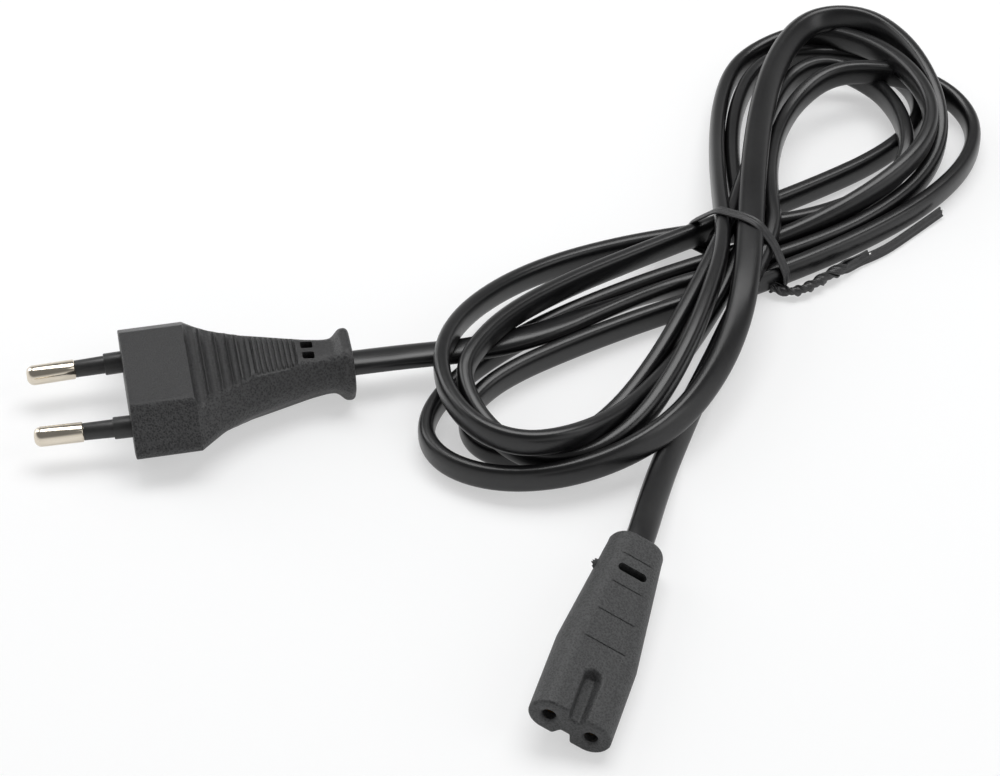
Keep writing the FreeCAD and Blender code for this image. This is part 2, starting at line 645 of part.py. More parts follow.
# Grip grooves right across the top and the underside.
sketch = new_sketch(plug, "grip_outlines", "XZ_Plane")
for i, (x, floor, half) in enumerate(GROOVES):
    for sign in (1, -1):
        outline = [(-0.45, 0), (0.45, 0), (0.9, 0.55), (1, 2.2), (-1, 2.2), (-0.9, 0.55)]
        corners = [(x + a * half, sign * (floor + b * half)) for a, b in outline]
        formulas = [("Sizes.grip_place_no%d + Sizes.grip_half_no%d * %s" % (i, i, a),
                     "(Sizes.grip_floor_no%d + Sizes.grip_half_no%d * %s) * %d" % (i, i, b, sign))
                    for a, b in outline]
        polygon(sketch, corners, formulas)
doc.recompute()
pocket(plug, "grip_grooves", sketch, both=True)
doc.recompute()
sketch = new_sketch(plug, "fine_outlines", "XZ_Plane")
fine_half = size("fine_half")
for i in range(FINE_COUNT):
    for sign in (1, -1):
        x = size("fine_start") + i * size("fine_pitch")
        floor = size("fine_floor") - i * size("fine_drop")
        top = floor + size("fine_tall")
        f_x = "Sizes.fine_start + Sizes.fine_pitch * %d" % i
        f_floor = "(Sizes.fine_floor - Sizes.fine_drop * %d) * %d" % (i, sign)
        f_top = "(Sizes.fine_floor - Sizes.fine_drop * %d + Sizes.fine_tall) * %d" % (i, sign)
        polygon(sketch, [(x, sign * floor), (x + fine_half, sign * top), (x - fine_half, sign * top)],
                [(f_x, f_floor), (f_x + " + Sizes.fine_half", f_top), (f_x + " - Sizes.fine_half", f_top)])
doc.recompute()
pocket(plug, "fine_grooves", sketch, both=True)
doc.recompute()

# Two windows over the cord, above and below.
windows = new_sketch(plug, "window_outlines", "XY_Plane", "Sizes.plug_half_height")
wx = size("window_x")
for side in (1, -1):
    wy = side * size("window_offset")
    hx = size("window_half_x")
    hy = size("window_half_y")
    corners = [(wx - hx, wy - hy), (wx + hx, wy - hy), (wx + hx, wy + hy), (wx - hx, wy + hy)]
    f_x = ["Sizes.window_x - Sizes.window_half_x", "Sizes.window_x + Sizes.window_half_x"]
    f_y = ["Sizes.window_offset * %d - Sizes.window_half_y" % side,
           "Sizes.window_offset * %d + Sizes.window_half_y" % side]
    polygon(windows, corners, [(f_x[0], f_y[0]), (f_x[1], f_y[0]), (f_x[1], f_y[1]), (f_x[0], f_y[1])])
doc.recompute()
window_cut = pocket(plug, "windows_above", windows, "Sizes.plug_half_height - Sizes.cord_thin / 2")
doc.recompute()
mirror_flat(plug, "windows", [window_cut])

# A shallow ring round each pin's root in the pin face.
root_rings = new_sketch(plug, "root_ring_outlines", "YZ_Plane")
for side in (1, -1):
    circle(root_rings, side * size("pin_base_offset"), 0, size("sleeve_root_radius") + size("root_gap"),
           ("Sizes.pin_base_offset * %d" % side, None, "Sizes.sleeve_root_radius + Sizes.root_gap"))
doc.recompute()
pocket(plug, "root_rings", root_rings, "Sizes.root_gap_depth", back=True)
doc.recompute()

# Pins, their sleeves and the holder.
tilt = math.degrees(math.atan2(size("pin_base_offset") - size("pin_tip_offset"), size("pin_length")))
pins = []
sleeves = []
for word, side in (("left", -1), ("right", 1)):
    place = PLUG.multiply(Place(V(0, side * size("pin_base_offset"), 0), Rot(V(0, 0, 1), side * tilt)))
    pin = stepped_rod("pin_" + word, place,
                      [("-Sizes.pin_length", "Sizes.pin_bare", "Sizes.pin_radius"),
                       ("Sizes.pin_bare - Sizes.pin_length",
                        "Sizes.pin_length - Sizes.pin_bare + Sizes.pin_inside", "Sizes.pin_core_radius")],
                      [("Sizes.pin_inside - Sizes.pin_crimp", "Sizes.pin_crimp", "Sizes.strand_radius")])
    tip_edges = edges_where(pin.Tip.Shape, lambda e: e.Curve.TypeId == "Part::GeomCircle"
                            and abs(e.Curve.Center.x + size("pin_length")) < 0.01)
    dress(pin, "Chamfer", "pin_%s_tip" % word, pin.Tip, tip_edges, "Sizes.pin_tip_bevel")
    pins.append(pin)
    sleeve = stepped_rod("pin_sleeve_" + word, place,
                         [("Sizes.pin_bare - Sizes.pin_length",
                           "Sizes.pin_length - Sizes.pin_bare + Sizes.bridge_front", "Sizes.sleeve_radius"),
                          ("-Sizes.sleeve_root", "Sizes.sleeve_root + Sizes.bridge_front",
                           "Sizes.sleeve_root_radius")],
                         [("Sizes.pin_bare - Sizes.pin_length",
                           "Sizes.pin_length - Sizes.pin_bare + Sizes.bridge_front",
                           "Sizes.pin_core_radius")])
    sleeves.append(sleeve)
doc.recompute()

bridge_box = doc.addObject("Part::Box", "bridge_block")
bind(bridge_box, "Length", "Sizes.bridge_length")
bind(bridge_box, "Width", "Sizes.bridge_half_width * 2")
bind(bridge_box, "Height", "Sizes.bridge_half_height * 2")
bridge_box.Placement = PLUG.multiply(Place(V(size("bridge_front"), -size("bridge_half_width"),
                                             -size("bridge_half_height")), Rot()))
pin_pair = doc.addObject("Part::MultiFuse", "pin_pair")
pin_pair.Shapes = pins + sleeves
bridge = doc.addObject("Part::Cut", "plug_bridge")
bridge.Base = bridge_box
bridge.Tool = pin_pair

# Cores in the plug fan out from the cord to the pins, and their strands end inside the pins.
plug_cores = []
plug_strands = []
inside = size("pin_inside")
end_x = size("plug_cord_start")
for word, side, pin in (("left", -1, pins[0]), ("right", 1, pins[1])):
    pin_frame = Place(V(0, side * size("pin_base_offset"), 0), Rot(V(0, 0, 1), side * tilt))
    near = pin_frame.multVec(V(inside, 0, 0))
    far = V(end_x, side * gap, 0)
    strand = solid_feature("plug_strands_" + word, rod(pin_frame.multVec(V(inside - size("pin_crimp"), 0, 0)),
                                                       near, size("strand_radius")))
    strand.Placement = PLUG
    core_rod = rod(near * 2 - far, far * 2 - near, size("core_radius"))
    core_rod = clipped(core_rod, (near.x - 0.1, -20, -5), (end_x, 20, 5))
    core_rod.Placement = PLUG
    core = solid_feature("plug_core_" + word, core_rod.cut([pin.Shape, strand.Shape]))
    plug_strands.append(strand)
    plug_cores.append(core)

# Hank: two flat lobes round a crossing. Each outline is two circles joined by their tangents.
KNOT = V(size("knot_x"), size("knot_y"), 0)
# bearing, then near and far circle as distance, offset and radius: outside, and the hole
LOBES = [
    ("near", 244.0, [(20.0, -2.4, 19.0), (61.0, -2.4, 24.8)], [(37.0, 2.0, 7.5), (65.0, 1.0, 9.5)]),
    ("far", 80.0, [(20.0, -3.0, 20.0), (60.0, -3.0, 29.0)], [(34.0, -2.5, 7.0), (50.0, -3.8, 9.5)]),
]


def tangent_outline(bearing, circles):
    """Closed outline round two circles, in the floor plane."""
    b = math.radians(bearing)
    along = V(math.cos(b), math.sin(b), 0)
    across = V(-math.sin(b), math.cos(b), 0)
    (u0, v0, r0), (u1, v1, r1) = circles
    near = KNOT + along * u0 + across * v0
    far = KNOT + along * u1 + across * v1
    ahead = (far - near).normalize()
    left = V(0, 0, 1).cross(ahead)
    lift = math.asin((r0 - r1) / (far - near).Length)
    normals = [left * math.cos(lift) + ahead * math.sin(lift), left * -math.cos(lift) + ahead * math.sin(lift)]
    a0, a1 = [near + n * r0 for n in normals]
    b0, b1 = [far + n * r1 for n in normals]
    edges = [Part.LineSegment(a0, b0).toShape(), Part.Arc(b0, far + ahead * r1, b1).toShape(),
             Part.LineSegment(b1, a1).toShape(), Part.Arc(a1, near - ahead * r0, a0).toShape()]
    return Part.Face(Part.Wire(edges))


high = size("hank_height")
rings = []
for label, bearing, outside, hole in LOBES:
    slab = tangent_outline(bearing, outside).extrude(V(0, 0, high))
    top_edges = [e for e in slab.Edges if all(abs(v.Point.z - high) < 0.01 for v in e.Vertexes)]
    slab = slab.makeChamfer(size("hank_edge"), top_edges)
    well = tangent_outline(bearing, hole).extrude(V(0, 0, high))
    rings.append(slab.cut(well))
along = size("knot_along")
across = size("knot_across")
mound = Part.makeBox(2 * along, 2 * across, size("knot_height"), V(-along, -across, 0))
upright = [e for e in mound.Edges if abs(e.BoundBox.ZLength) > 1]
mound = mound.makeChamfer(size("knot_corner"), upright)
crest = [e for e in mound.Edges if e.BoundBox.ZMin > size("knot_height") - 0.01]
mound = mound.makeChamfer(size("knot_edge"), crest)
mound.Placement = Place(KNOT, Rot(V(0, 0, 1), size("knot_turn")))

# Tie: a loop round the crossing, a twist on the floor and two tails.
TIE = Place(KNOT + V(0.2, -0.9, 0), Rot(V(0, 0, 1), size("tie_turn")))
tie_half = size("tie_half_width")
tie_low = size("tie_low")
tie_high = size("tie_high")
tie_width = size("tie_width")
tie_thick = size("tie_thick")


def loop_face(grow, depth):
    """Upright outline of the loop with bevelled corners, grown outwards, at a depth along the crossing."""
    x = tie_half + grow
    z0 = tie_low - grow
    z1 = tie_high + grow
    c = size("tie_corner") + grow * (2 - math.sqrt(2))
    outline = [(x - c, z0), (x, z0 + c), (x, z1 - c), (x - c, z1), (c - x, z1), (-x, z1 - c), (-x, z0 + c),
               (c - x, z0)]
    points = [V(a, depth, b) for a, b in outline]
    return Part.Face(Part.makePolygon(points + [points[0]]))


def hoop_between(inner, outer, width):
    """Closed hoop between two growths of the loop's outline."""
    across_hoop = V(0, width, 0)
    return loop_face(outer, -width / 2).extrude(across_hoop).cut(loop_face(inner, -width / 2).extrude(across_hoop))


def ribbon(points, half, low, tall):
    """Upright strip along corner points on the floor, mitred at each corner."""
    points = [V(x, y, low) for x, y in points]
    left = []
    right = []
    for i, here in enumerate(points):
        before = (here - points[i - 1]).normalize() if i else (points[1] - here).normalize()
        after = (points[i + 1] - here).normalize() if i + 1 < len(points) else before
        bisector = (before + after).normalize()
        out = V(-bisector.y, bisector.x, 0) * (half / bisector.dot(before))
        left.append(here + out)
        right.append(here - out)
    outline = left + list(reversed(right))
    return Part.Face(Part.makePolygon(outline + [outline[0]])).extrude(V(0, 0, tall))


inner_prism = loop_face(0.0, -tie_width / 2).extrude(V(0, tie_width, 0))
band = hoop_between(0.0, tie_thick, tie_width)
slab = Part.makeBox(80, tie_width, 60, V(-40, -tie_width / 2, -20))
notch = slab.cut(inner_prism)
wire_half = size("tie_wire_half")
hoop = hoop_between(tie_thick / 2 - wire_half, tie_thick / 2 + wire_half, 2 * wire_half)
for shape in (band, notch, hoop):
    shape.Placement = TIE

TWIST = [(4.9, 108.67), (12.6, 105.6)]
TAIL = [(12.2, 105.8), (17.8, 109.2), (21.9, 115.5), (27.5, 121.8)]
TIE_MIDDLE = 1.3
twist_rod = rod(V(*TWIST[0], TIE_MIDDLE), V(*TWIST[1], TIE_MIDDLE), size("tie_width") / 2)
twist_wire = ribbon(TWIST, wire_half, TIE_MIDDLE - wire_half, 2 * wire_half)
tail_strip = ribbon(TAIL, tie_thick / 2, TIE_MIDDLE - tie_width / 2, tie_width)
tail_wire = ribbon(TAIL, wire_half, TIE_MIDDLE - wire_half, 2 * wire_half)
steel = fuse_all([hoop, twist_wire, tail_wire])
coat = fuse_all([band, twist_rod, tail_strip])

hank = rings[0].fuse(rings[1]).fuse(mound)
hank = hank.cut(notch).cut(coat)
hank = hank.removeSplitter().Solids[0]
hank_solid = solid_feature("cord_hank", hank)
tie_wire = solid_feature("tie_wire", steel)
tie_coating = solid_feature("tie_coating", coat.cut(steel))

# Cord from the connector, straight out of its rear into the hank.
lead_wire = route("cord from the connector", world(CONN, [(0, cord_y, 0), (0, size("conn_lead_end"), 0)]))
lead = sweep(lead_wire, LEAN_UP, wide_half, thin_half)
print("volume against section", round(lead.Volume / lead_wire.Length, 2))
lead_solid = solid_feature("cord_lead_connector", lead.cut(hank))

# Cord to the plug, straight out of the hank into the plug's neck.
out_wire = route("cord to the plug", world(PLUG, [(size("plug_cord_start"), 0, 0), (size("plug_lead_end"), 0, 0)]))
out = sweep(out_wire, UP, wide_half, thin_half)
print("volume against section", round(out.Volume / out_wire.Length, 2))
out_solid = solid_feature("cord_lead_plug", out.cut(hank))

# Mouldings: their outside shape less all that they are moulded round.
bores = []
for side in (-1, 1):
    bore = doc.addObject("Part::Cylinder", "contact_bore_" + ("left" if side < 0 else "right"))
    bind(bore, "Radius", "Sizes.contact_inner")
    bind(bore, "Height", "Sizes.contact_front + Sizes.contact_length")
    bore.Placement = CONN.multiply(Place(V(side * off, 0, 0), Rot(V(1, 0, 0), -90)))
    bores.append(bore)
conn_filling = doc.addObject("Part::MultiFuse", "connector_filling")
conn_filling.Shapes = [insert, lead_solid] + sockets + conn_strands + conn_cores + bores
connector_body = doc.addObject("Part::Cut", "connector_body")
connector_body.Base = conn
connector_body.Tool = conn_filling
plug_filling = doc.addObject("Part::MultiFuse", "plug_filling")
plug_filling.Shapes = pins + sleeves + plug_strands + plug_cores + [bridge, out_solid]
plug_body = doc.addObject("Part::Cut", "plug_body")
plug_body.Base = plug
plug_body.Tool = plug_filling
doc.recompute()

NODES = [connector_body, insert] + sockets + conn_cores + conn_strands
NODES += [lead_solid, hank_solid, out_solid, plug_body, bridge] + pins + sleeves + plug_cores + plug_strands
NODES += [tie_wire, tie_coating]

for thing in doc.Objects:
    for flag in ("Invalid", "Error"):
        assert flag not in thing.State, "%s is %s" % (thing.Name, flag)
os.makedirs("parts", exist_ok=True)
for node in NODES:
    shape = node.Shape
    assert not shape.isNull() and shape.isValid(), node.Name
    shape.exportStep("parts/%s.step" % node.Name)
    box = shape.optimalBoundingBox(True, False)
    print("%-24s solids %d volume %9.2f  x %7.2f %7.2f  y %7.2f %7.2f  z %6.2f %6.2f" % (
        node.Name, len(shape.Solids), shape.Volume, box.XMin, box.XMax, box.YMin, box.YMax,
        box.ZMin, box.ZMax))
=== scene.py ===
# %% [markdown]
# # A mains lead, tied in a figure of eight
#
# The object is a flat two-core lead. One end carries a small two-hole connector, the other a slim
# two-pin plug, and the cord between them is folded into a figure-eight hank under a twist tie.
# The CAD model fixes every size and place. This lesson dresses it: the camera and the cord come
# first, then the two mouldings, the pins, the tie and the finishes.

# %% Open the fixed frame
import math

import bmesh
import bpy
import numpy as np
from mathutils import Matrix, Vector


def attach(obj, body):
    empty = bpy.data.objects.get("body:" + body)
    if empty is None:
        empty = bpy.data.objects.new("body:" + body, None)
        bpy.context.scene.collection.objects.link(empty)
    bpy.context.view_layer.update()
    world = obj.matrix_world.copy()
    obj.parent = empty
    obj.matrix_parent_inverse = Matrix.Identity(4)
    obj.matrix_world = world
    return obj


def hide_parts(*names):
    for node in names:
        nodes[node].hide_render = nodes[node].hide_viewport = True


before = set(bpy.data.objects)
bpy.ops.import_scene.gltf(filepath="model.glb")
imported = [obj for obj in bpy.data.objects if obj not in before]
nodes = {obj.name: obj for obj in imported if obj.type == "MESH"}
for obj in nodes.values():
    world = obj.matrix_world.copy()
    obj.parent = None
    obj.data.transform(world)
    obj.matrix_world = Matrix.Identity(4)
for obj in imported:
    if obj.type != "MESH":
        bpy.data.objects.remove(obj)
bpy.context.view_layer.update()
scene = bpy.context.scene
scene.view_settings.view_transform = "Standard"
MM = 0.001
print("CAD nodes", sorted(nodes))

# %% [markdown]
# ## Camera
#
# The picture is taken from in front and above, from far enough that the lines hardly converge.
# A long lens gives that. A camera in Blender looks along its own -Z, so its turn is worked out
# from the direction to the point in the middle of the picture.

# %% Place the camera
camera_data = bpy.data.cameras.new("camera")
camera_data.lens = 108
camera_data.sensor_width = 36
camera_data.clip_start = 0.01
camera_data.clip_end = 10
camera = bpy.data.objects.new("camera", camera_data)
scene.collection.objects.link(camera)
eye = Vector((88.93, -352.57, 420.35)) * MM
aim = Vector((-39.12, 61.92, 0)) * MM
camera.location = eye
camera.rotation_euler = (aim - eye).to_track_quat("-Z", "Y").to_euler()
scene.camera = camera
print("camera is %.0f mm from the middle of the picture" % ((aim - eye).length / MM))

# %% [markdown]
# ## Floor and light
#
# The lead lies on a white sheet under large soft lamps, and its shadows are faint. A plain plane
# makes the sheet. Half of what the camera sees of it is plain white, and the other half is the
# lit sheet, so the background is nearly white and the shadow still lies on it. A pale world
# fills in from all round, brighter near the horizon than overhead, so that shiny black and nickel
# have something dark and something light to mirror. Area lamps give the long soft highlights.

# %% Helpers for nodes
def plain_material(name):
    """New material with an empty node tree."""
    material = bpy.data.materials.new(name)
    material.use_nodes = True
    material.node_tree.nodes.clear()
    return material, material.node_tree


def new_node(tree, kind, values=None, **settings):
    """Node of one kind, with its settings and the values on its inputs."""
    node = tree.nodes.new(kind)
    for title, setting in settings.items():
        setattr(node, title, setting)
    for socket, value in (values or {}).items():
        node.inputs[socket].default_value = value
    return node


def math_node(tree, operation, a, b=None):
    """Math node with links or numbers on its two inputs."""
    node = new_node(tree, "ShaderNodeMath", operation=operation)
    for socket, value in zip(node.inputs, (a, b)):
        if isinstance(value, (int, float)):
            socket.default_value = value
        elif value is not None:
            tree.links.new(value, socket)
    return node.outputs[0]


# %% Lay the floor
WHITE_SHARE = 0.5
SHEET_HALF = 6.0
sheet_material, sheet_tree = plain_material("white_sheet")
lit = new_node(sheet_tree, "ShaderNodeBsdfPrincipled",
               {"Base Color": (0.93, 0.935, 0.94, 1), "Roughness": 0.75, "Specular IOR Level": 0.2})
white = new_node(sheet_tree, "ShaderNodeEmission", {"Color": (1, 1, 1, 1), "Strength": 1.0})
rays = new_node(sheet_tree, "ShaderNodeLightPath")
seen = math_node(sheet_tree, "MAXIMUM", rays.outputs["Is Camera Ray"], rays.outputs["Is Glossy Ray"])
seen = math_node(sheet_tree, "MAXIMUM", seen, rays.outputs["Is Transmission Ray"])
lit_and_white = new_node(sheet_tree, "ShaderNodeMixShader")
sheet_out = new_node(sheet_tree, "ShaderNodeOutputMaterial")
link = sheet_tree.links.new
link(math_node(sheet_tree, "MULTIPLY", seen, WHITE_SHARE), lit_and_white.inputs["Fac"])
link(lit.outputs["BSDF"], lit_and_white.inputs[1])
link(white.outputs["Emission"], lit_and_white.inputs[2])
link(lit_and_white.outputs["Shader"], sheet_out.inputs["Surface"])

mesh = bpy.data.meshes.new("white_sheet")
corners = [(x * SHEET_HALF, y * SHEET_HALF, 0) for x, y in ((-1, -1), (1, -1), (1, 1), (-1, 1))]
mesh.from_pydata(corners, [], [(0, 1, 2, 3)])
sheet = bpy.data.objects.new("white_sheet", mesh)
scene.collection.objects.link(sheet)
sheet.data.materials.append(sheet_material)
print("white sheet is %.0f m wide" % (2 * SHEET_HALF))

# %% Light the world
world = bpy.data.worlds.new("studio")
scene.world = world
world.use_nodes = True
sky = world.node_tree
sky.nodes.clear()
direction = new_node(sky, "ShaderNodeTexCoord")
height = new_node(sky, "ShaderNodeSeparateXYZ")
dimming = new_node(sky, "ShaderNodeMapRange", {"From Min": 0.1, "From Max": 0.6, "To Min": 0.9, "To Max": 0.2},
                   interpolation_type="SMOOTHSTEP")
glow = new_node(sky, "ShaderNodeBackground", {"Color": (1, 1, 1, 1)})
sky_out = new_node(sky, "ShaderNodeOutputWorld")
link = sky.links.new
link(direction.outputs["Generated"], height.inputs["Vector"])
link(height.outputs["Z"], dimming.inputs["Value"])
link(dimming.outputs["Result"], glow.inputs["Strength"])
link(glow.outputs["Background"], sky_out.inputs["Surface"])
print("world has", len(sky.nodes), "nodes")


# %% Set the lamps
def soft_lamp(name, place, target, size, watts):
    """Rectangular lamp at a place, aimed at a target, all in metres."""
    data = bpy.data.lights.new(name, "AREA")
    data.shape = "RECTANGLE"
    data.size, data.size_y = size
    data.energy = watts
    lamp = bpy.data.objects.new(name, data)
    scene.collection.objects.link(lamp)
    lamp.location = place
    lamp.rotation_euler = (Vector(target) - Vector(place)).to_track_quat("-Z", "Y").to_euler()


soft_lamp("lamp_over", (-0.05, 0.55, 1.15), (-0.03, 0.08, 0), (1.2, 0.6), 12.0)
soft_lamp("lamp_left", (-1.0, 0.35, 0.55), (-0.02, 0.08, 0), (0.45, 0.9), 3.6)
soft_lamp("lamp_right", (1.0, 0.1, 0.7), (0, 0.05, 0), (0.45, 0.8), 2.0)

# %% [markdown]
# ## The route of the cord
#
# A cord has one fixed length, so its shape starts from a line, not from a surface. The free ends
# are listed points, which start and end inside the mouldings, where the CAD model has the
# cord. The hank is nine loops that swing out from the crossing and back, five to the far side and
# four to the near side. Each loop is a row: how far it reaches, its bearing, how wide it opens, how
# lopsided and bowed it is, and where it enters and leaves the tie. Code turns each row into points.

# %% Rows of the hank
KNOT = (-2.0, 112.0)
# reach, bearing, width, uneven width, sideways bow, lean, way in x and y, way out x and y
LOOPS = [
    ("outer far", 69.5, 63.5, 17.8, 3.0, 19.5, -0.36, 6.7, 3.1, 4.4, -8.8),
    ("inner near", 79.5, 241.7, -15.0, -0.1, 1.9, 0.05, 4.0, -8.3, -3.0, 0.3),
    ("inner far", 65.4, 70.8, 20.0, -1.5, 3.0, 0.31, -3.1, 0.3, -4.4, 8.1),
    ("first near", 67.8, 217.0, -13.3, 7.3, 42.1, 0.45, -4.6, 8.4, 0.3, -2.3),
    ("second far", 71.7, 84.3, 21.2, -7.5, 1.0, -0.08, 0.1, -2.3, -5.4, 8.0),
    ("second near", 76.5, 245.5, -16.8, 0.0, 1.8, 0.02, -5.5, 8.0, -1.3, -3.7),
    ("left far", 71.8, 90.5, 21.5, -7.7, 1.8, 0.06, -1.8, -3.8, 7.2, 4.3),
    ("broad near", 79.0, 236.4, -15.7, -1.9, 19.2, 0.63, 6.2, 5.3, 2.7, -4.5),
    ("top far", 80.9, 82.2, 20.5, -2.1, -1.6, 0.23, 2.9, -4.7, 4.2, -4.2),
]
# height of the cord's middle at eleven even steps round each loop: at 2.9 it stands on its edge
HEIGHTS = {
    "outer far": (8.6, 5.0, 2.9, 4.0, 6.5, 4.0, 2.9, 2.9, 2.9, 2.9, 2.9),
    "inner near": (2.9, 2.9, 2.9, 2.9, 2.9, 2.9, 2.9, 2.9, 2.9, 5.5, 8.6),
    "inner far": (8.6, 5.0, 2.9, 2.9, 2.9, 2.9, 2.9, 2.9, 2.9, 2.9, 2.9),
    "first near": (2.9, 2.9, 2.9, 6.0, 8.6, 8.6, 6.5, 2.9, 2.9, 5.5, 8.6),
    "second far": (8.6, 5.0, 2.9, 2.9, 2.9, 2.9, 2.9, 2.9, 2.9, 2.9, 2.9),
    "second near": (2.9, 2.9, 2.9, 4.0, 8.6, 5.0, 2.9, 2.9, 2.9, 5.5, 8.6),
    "left far": (8.6, 5.0, 2.9, 2.9, 3.2, 8.0, 9.0, 8.6, 8.6, 6.5, 2.9),
    "broad near": (2.9, 2.9, 2.9, 2.9, 2.9, 2.9, 2.9, 2.9, 6.0, 9.5, 13.1),
    "top far": (13.1, 10.0, 8.8, 8.8, 8.8, 8.8, 5.0, 2.9, 2.9, 2.9, 2.9),
}
# turn of the cord about its own line, in degrees: 0 stands on its edge, 90 lies with a broad face up
TURNS = {
    "broad near": (0, 0, 0, 0, 0, 0, 10, 25, 50, 75, 90),
    "top far": (90, 80, 60, 45, 30, 15, 0, 0, 0, 0, 0),
}
print("loops", [row[0] for row in LOOPS])

# %% Points of one loop
POINTS_PER_LOOP = 13
EVEN_STEPS = [i / 10 for i in range(11)]


def loop_points(row):
    """Points along one loop of the hank, with their turn, in mm and degrees."""
    name, reach, bearing, width, uneven, bow, lean, in_x, in_y, out_x, out_y = row
    b = math.radians(bearing)
    points = []
    for k in range(POINTS_PER_LOOP):
        t = k / POINTS_PER_LOOP
        swing = math.pi * t
        u = reach * math.sin(swing) * (1 + lean * math.cos(swing))
        v = math.sin(2 * swing) * (width + uneven * math.cos(swing)) + bow * math.sin(swing) ** 3
        x = KNOT[0] + (1 - t) * in_x + t * out_x + u * math.cos(b) - v * math.sin(b)
        y = KNOT[1] + (1 - t) * in_y + t * out_y + u * math.sin(b) + v * math.cos(b)
        z = float(np.interp(t, EVEN_STEPS, HEIGHTS[name]))
        turn = float(np.interp(t, EVEN_STEPS, TURNS.get(name, (0,) * 11)))
        points.append((x, y, z, turn))
    return points


print("first loop starts at", [round(c, 1) for c in loop_points(LOOPS[0])[0]])

# %% Points of the free ends
LEAN = math.radians(25)
# height of the connector's middle when it leans on its rounded side
CONNECTOR_REST = 3.9 + 0.05 * math.cos(LEAN) + 4.25 * math.sin(LEAN)
PLUG_YAW = math.radians(28.31)
PLUG_FACE = (-107.07, 31.84, 6.85)


def at_plug(x, y, z):
    """A place in the plug's own frame, in mm: x from the pin face to the cord, z up."""
    return (PLUG_FACE[0] + x * math.cos(PLUG_YAW) - y * math.sin(PLUG_YAW),
            PLUG_FACE[1] + x * math.sin(PLUG_YAW) + y * math.cos(PLUG_YAW), PLUG_FACE[2] + z)


# x, y, z and turn, from inside the connector to the tie
FROM_CONNECTOR = [
    (0, 8.0, CONNECTOR_REST, 65),
    (0, 16.0, CONNECTOR_REST, 65),
    (0, 26.0, CONNECTOR_REST, 65),
    (-0.6, 36.0, 5.2, 62),
    (-1.0, 47.0, 4.2, 48),
    (-0.6, 60.0, 3.6, 30),
    (0.2, 74.0, 3.0, 10),
    (0.8, 88.0, 2.9, 0),
    (2.2, 101.0, 4.5, 0),
]
# from the tie, under the near loops, to the plug
TO_PLUG = [
    (-4.5, 104.0, 2.9, 0),
    (-13.0, 98.5, 2.9, 10),
    (-24.0, 88.0, 2.9, 40),
    (-35.0, 75.5, 3.0, 75),
    (-46.5, 66.0, 3.6, 90),
    (-57.0, 59.8, 5.8, 90),
    at_plug(48.0, 0, 0) + (90,),
    at_plug(41.0, 0, 0) + (90,),
    at_plug(35.5, 0, 0) + (90,),
]
print("connector's middle rests at %.2f mm" % CONNECTOR_REST)

# %% Join the ends and the loops
route = list(FROM_CONNECTOR)
for row in LOOPS:
    route += loop_points(row)
route += TO_PLUG
print("points placed", len(route))

# %% [markdown]
# ## Let the hank settle
#
# Rows placed on their own run through each other where they cross. Real turns push each other
# aside, and the stiff cord spreads each push along its length. So the hank is settled before it
# gets a skin: the cord is two round cores side by side, and wherever two cores of different turns
# are closer than a core's width, both are moved apart a little. Each step also straightens bends
# that are too sharp, pulls the points gently back to their places, keeps the cord on the sheet,
# and holds the pile down under the tie. It is the same idea as a cloth simulation, for a line.

# %% Weights of the cord's line
CORD_WIDE = 5.7
CORD_THIN = 3.4
CORE_OUT = 1.15
CORE_GAP = 3.45
NEAR_ALONG = 13


def line_weights(count, per_span):
    """How much each placed point counts at even steps along an order-3 spline."""
    spans = count - 2
    steps = np.linspace(0, spans, spans * per_span + 1)
    knots = np.concatenate([[0] * 2, np.arange(spans + 1), [spans] * 2]).astype(float)
    weights = np.zeros((len(steps), count))
    for row, x in enumerate(steps):
        k = min(int(x), spans - 1)
        i = k + 2
        near = np.array([1.0, 0.0, 0.0])
        for j in (1, 2):
            saved = 0.0
            for q in range(j):
                right = knots[i + q + 1] - x
                left = x - knots[i + q + 1 - j]
                part = near[q] / (right + left)
                near[q] = saved + right * part
                saved = left * part
            near[j] = saved
        weights[row, k:k + 3] = near
    return weights


print("steps along the line", len(line_weights(len(route), 5)))

# %% Find where turns press on each other
def core_pushes(line, turn):
    """Push that moves each step of the line off other turns, where it is, and the skin's low and high."""
    ahead = np.gradient(line, axis=0)
    step = np.linalg.norm(ahead, axis=1)
    ahead /= step[:, None]
    along = np.cumsum(step)
    side = np.cross([0, 0, 1.0], ahead)
    side /= np.linalg.norm(side, axis=1)[:, None]
    wide = np.cross(ahead, side) * np.cos(turn) + side * np.sin(turn)
    cores = np.concatenate([line + CORE_OUT * wide, line - CORE_OUT * wide])
    square = (cores ** 2).sum(1)
    apart = square[:, None] + square[None] - 2 * cores @ cores.T
    place = np.concatenate([along, along])
    other_turn = np.abs(place[:, None] - place[None]) > NEAR_ALONG
    one, other = np.where((apart < CORE_GAP ** 2) & other_turn)
    push = np.zeros_like(cores)
    hits = np.zeros(len(cores))
    gap = np.sqrt(np.maximum(apart[one, other], 1e-6))
    np.add.at(push, one, (cores[one] - cores[other]) / gap[:, None] * ((CORE_GAP - gap) * 0.5)[:, None])
    np.add.at(hits, one, 1)
    push /= np.maximum(hits, 1)[:, None]
    half = len(line)
    reach = CORE_OUT * np.abs(wide[:, 2]) + CORD_THIN / 2
    touched = ((hits[:half] + hits[half:]) > 0).astype(float)
    return push[:half] + push[half:], touched, line[:, 2] - reach, line[:, 2] + reach


# %% Settle the placed points
PILE_TOP = 14.3
SHEET_GAP = 0.32
SHARPEST = 1 / 14.0
PUSH_SHARE, FEWEST_HITS = 0.9, 0.35
EASE_BENDS, PULL_HOME, EVEN_HEIGHT, SINK = 0.35, 0.06, 0.03, 0.005
LONGEST_MOVE, LIFT_SHARE = 0.5, 0.7
SETTLE_STEPS = 300


